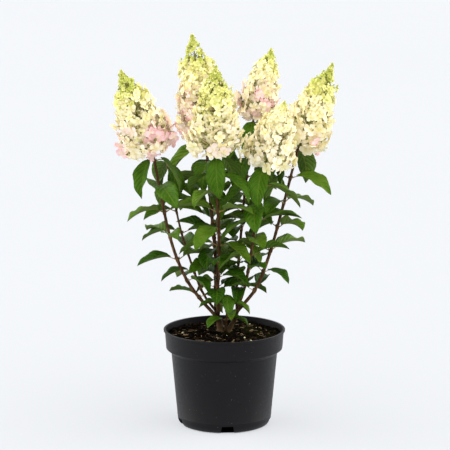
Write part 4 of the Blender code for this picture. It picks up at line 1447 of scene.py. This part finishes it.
        # a branch into each gap, and a fertile cluster on every other one
        look, place = headLook, self.place
        for index, (gap, reach) in enumerate(self.gaps):
            out = Vector((gap.x, gap.y, 0)).normalized()
            turn = facingTurn(out, self.chance, look["gapTilt"])
            within = gap - out * (look["gapDepth"] + reach * 0.5)
            if index % 2:
                size = Matrix.Scale(reach * look["gapCluster"], 4)
                where = place @ Matrix.Translation(within) @ turn @ size
                scatter(piles["clusters"], forms["dome"][index % len(forms["dome"])], where)
            start = place @ Vector((0, 0, gap.z * 0.8))
            scatterTwig(piles["stalks"], forms["twig"], start, place @ within, look["branch"])

    def fillInside(self, piles, forms):
        # pale green clusters behind the florets
        look, chance = headLook, self.chance
        domes = forms["plainDome"]
        for index in range(look["inside"]):
            share = mix(*look["insideShare"], (index + 0.5) / look["inside"])
            angle = index * goldenAngle
            out = around(angle)
            spot = self.spot(share, angle) - out * chance.uniform(*look["insideDepth"])
            if out.dot(spot) < look["nearAxis"]:
                continue
            turn = facingTurn(out, chance, look["insideTilt"])
            size = Matrix.Scale(chance.uniform(*look["insideSize"]), 4)
            where = self.place @ Matrix.Translation(spot) @ turn @ size
            scatter(piles["inside"], domes[index % len(domes)], where)

    def addCore(self, piles):
        steps = headLook["coreSteps"]
        points = [self.place @ Vector((0, 0, self.height * k / steps)) for k in range(steps + 1)]
        radii = [mix(*headLook["core"], k / steps) for k in range(steps + 1)]
        pourInto(piles["stalks"], tubeMesh(points, radii, 1))


def makeHeads():
    look = headLook
    piles = {name: bmesh.new() for name in (*petalTones, "stalks", "clusters", "inside")}
    for tone in petalTones:
        piles[tone].loops.layers.uv.new("petal")
    forms = {"twig": twigTemplate()}
    forms.update(templatesOf(floretForms, floretTemplate))
    forms.update(templatesOf(clusterForms, clusterTemplate))
    for head in [Head(cane) for cane in canes if cane.name in headPlans]:
        for layer, cover in enumerate((look["cover"], look["cover"] * look["inner"])):
            head.addFlorets(layer, cover, piles, forms)
        head.fillGaps(piles, forms)
        head.fillInside(piles, forms)
        head.addCore(piles)
    heads = [name for name in nodes if name.endswith("_flower_head")]
    for tone, colours in petalTones.items():
        name = "flower_buds_green" if tone == "bud" else f"florets_{tone}"
        material = petalMaterial(f"{tone}Petal", colours)
        addPiece(name, piles[tone], [material], heads if tone == "cream" else [])
    green = plainFinish("panicleStalk", (0.26, 0.29, 0.060), (0.38, 0.34, 0.110), 80.0, 0.6)
    addPiece("panicle_stalks", piles["stalks"], [green])
    tan = plainFinish("fertileBuds", (0.46, 0.36, 0.13), (0.60, 0.52, 0.26), 140.0, 0.6)
    addPiece("fertile_clusters", piles["clusters"], [tan])
    shade = plainFinish("fertileGreen", (0.300, 0.310, 0.090), (0.430, 0.420, 0.160), 140.0, 0.7, 0.1)
    addPiece("inner_clusters", piles["inside"], [shade])


makeHeads()


# Floor, light and camera

stageLook = {
    "floorColour": (0.237, 0.242, 0.250), "floorSize": 40.0, "skyColour": (0.985, 0.992, 1.0), "sky": 0.85,
    "camera": (0.0013, -6.0, 1.604), "down": 11.45, "lens": 257.04,
    "lamps": {
        "key": {"turn": 50, "rise": 44, "strength": 1.15, "spread": 60},
        "fill": {"turn": -50, "rise": 42, "strength": 1.00, "spread": 60},
        "rightRim": {"turn": 108, "rise": 12, "strength": 2.2, "spread": 60},
        "leftRim": {"turn": -108, "rise": 12, "strength": 2.4, "spread": 60},
        "floorWash": {"turn": 0, "rise": 90, "strength": 7.0, "spread": 20},
    },
}


def makeStage():
    look = stageLook
    bm = bmesh.new()
    bmesh.ops.create_grid(bm, x_segments=1, y_segments=1, size=look["floorSize"])
    mesh = meshFrom(bm, "floor")
    material, tree, shader = newMaterial("paleFloor", 0.95, 0.0)
    patches = placeGroup(tree, mottle, {"Vector": objectPlace(tree), "Scale": 0.6})
    near = tuple(channel * 0.99 for channel in look["floorColour"])
    body = layered(tree, look["floorColour"], (patches.outputs["Mask"], 1, near))
    tree.links.new(body, shader.inputs["Base Color"])
    mesh.materials.append(material)
    floor = newObject("floor", mesh)
    world = bpy.data.worlds.new("studio")
    bpy.context.scene.world = world
    world.use_nodes = True
    sky = world.node_tree.nodes["Background"]
    sky.inputs["Color"].default_value = (*look["skyColour"], 1)
    sky.inputs["Strength"].default_value = look["sky"]
    onlyFloor = bpy.data.collections.new("onlyFloor")
    onlyFloor.objects.link(floor)
    for name, values in look["lamps"].items():
        lamp = bpy.data.lights.new(name, "SUN")
        lamp.energy = values["strength"]
        lamp.angle = math.radians(values["spread"])
        thing = newObject(name, lamp)
        turn, rise = math.radians(values["turn"]), math.radians(values["rise"])
        toLamp = Vector((math.sin(turn) * math.cos(rise), -math.cos(turn) * math.cos(rise), math.sin(rise)))
        thing.rotation_mode = "QUATERNION"
        thing.rotation_quaternion = toLamp.to_track_quat("Z", "Y")
        if name == "floorWash":
            lamp.use_shadow = False
            thing.light_linking.receiver_collection = onlyFloor
    camera = newObject("camera", bpy.data.cameras.new("camera"))
    camera.data.lens = look["lens"]
    camera.data.sensor_width = 36
    camera.data.clip_end = 200
    camera.location = look["camera"]
    camera.rotation_euler = (math.radians(90 - look["down"]), 0, 0)
    bpy.context.scene.camera = camera
    bpy.context.scene.view_settings.view_transform = "Standard"


makeStage()

print("finished")
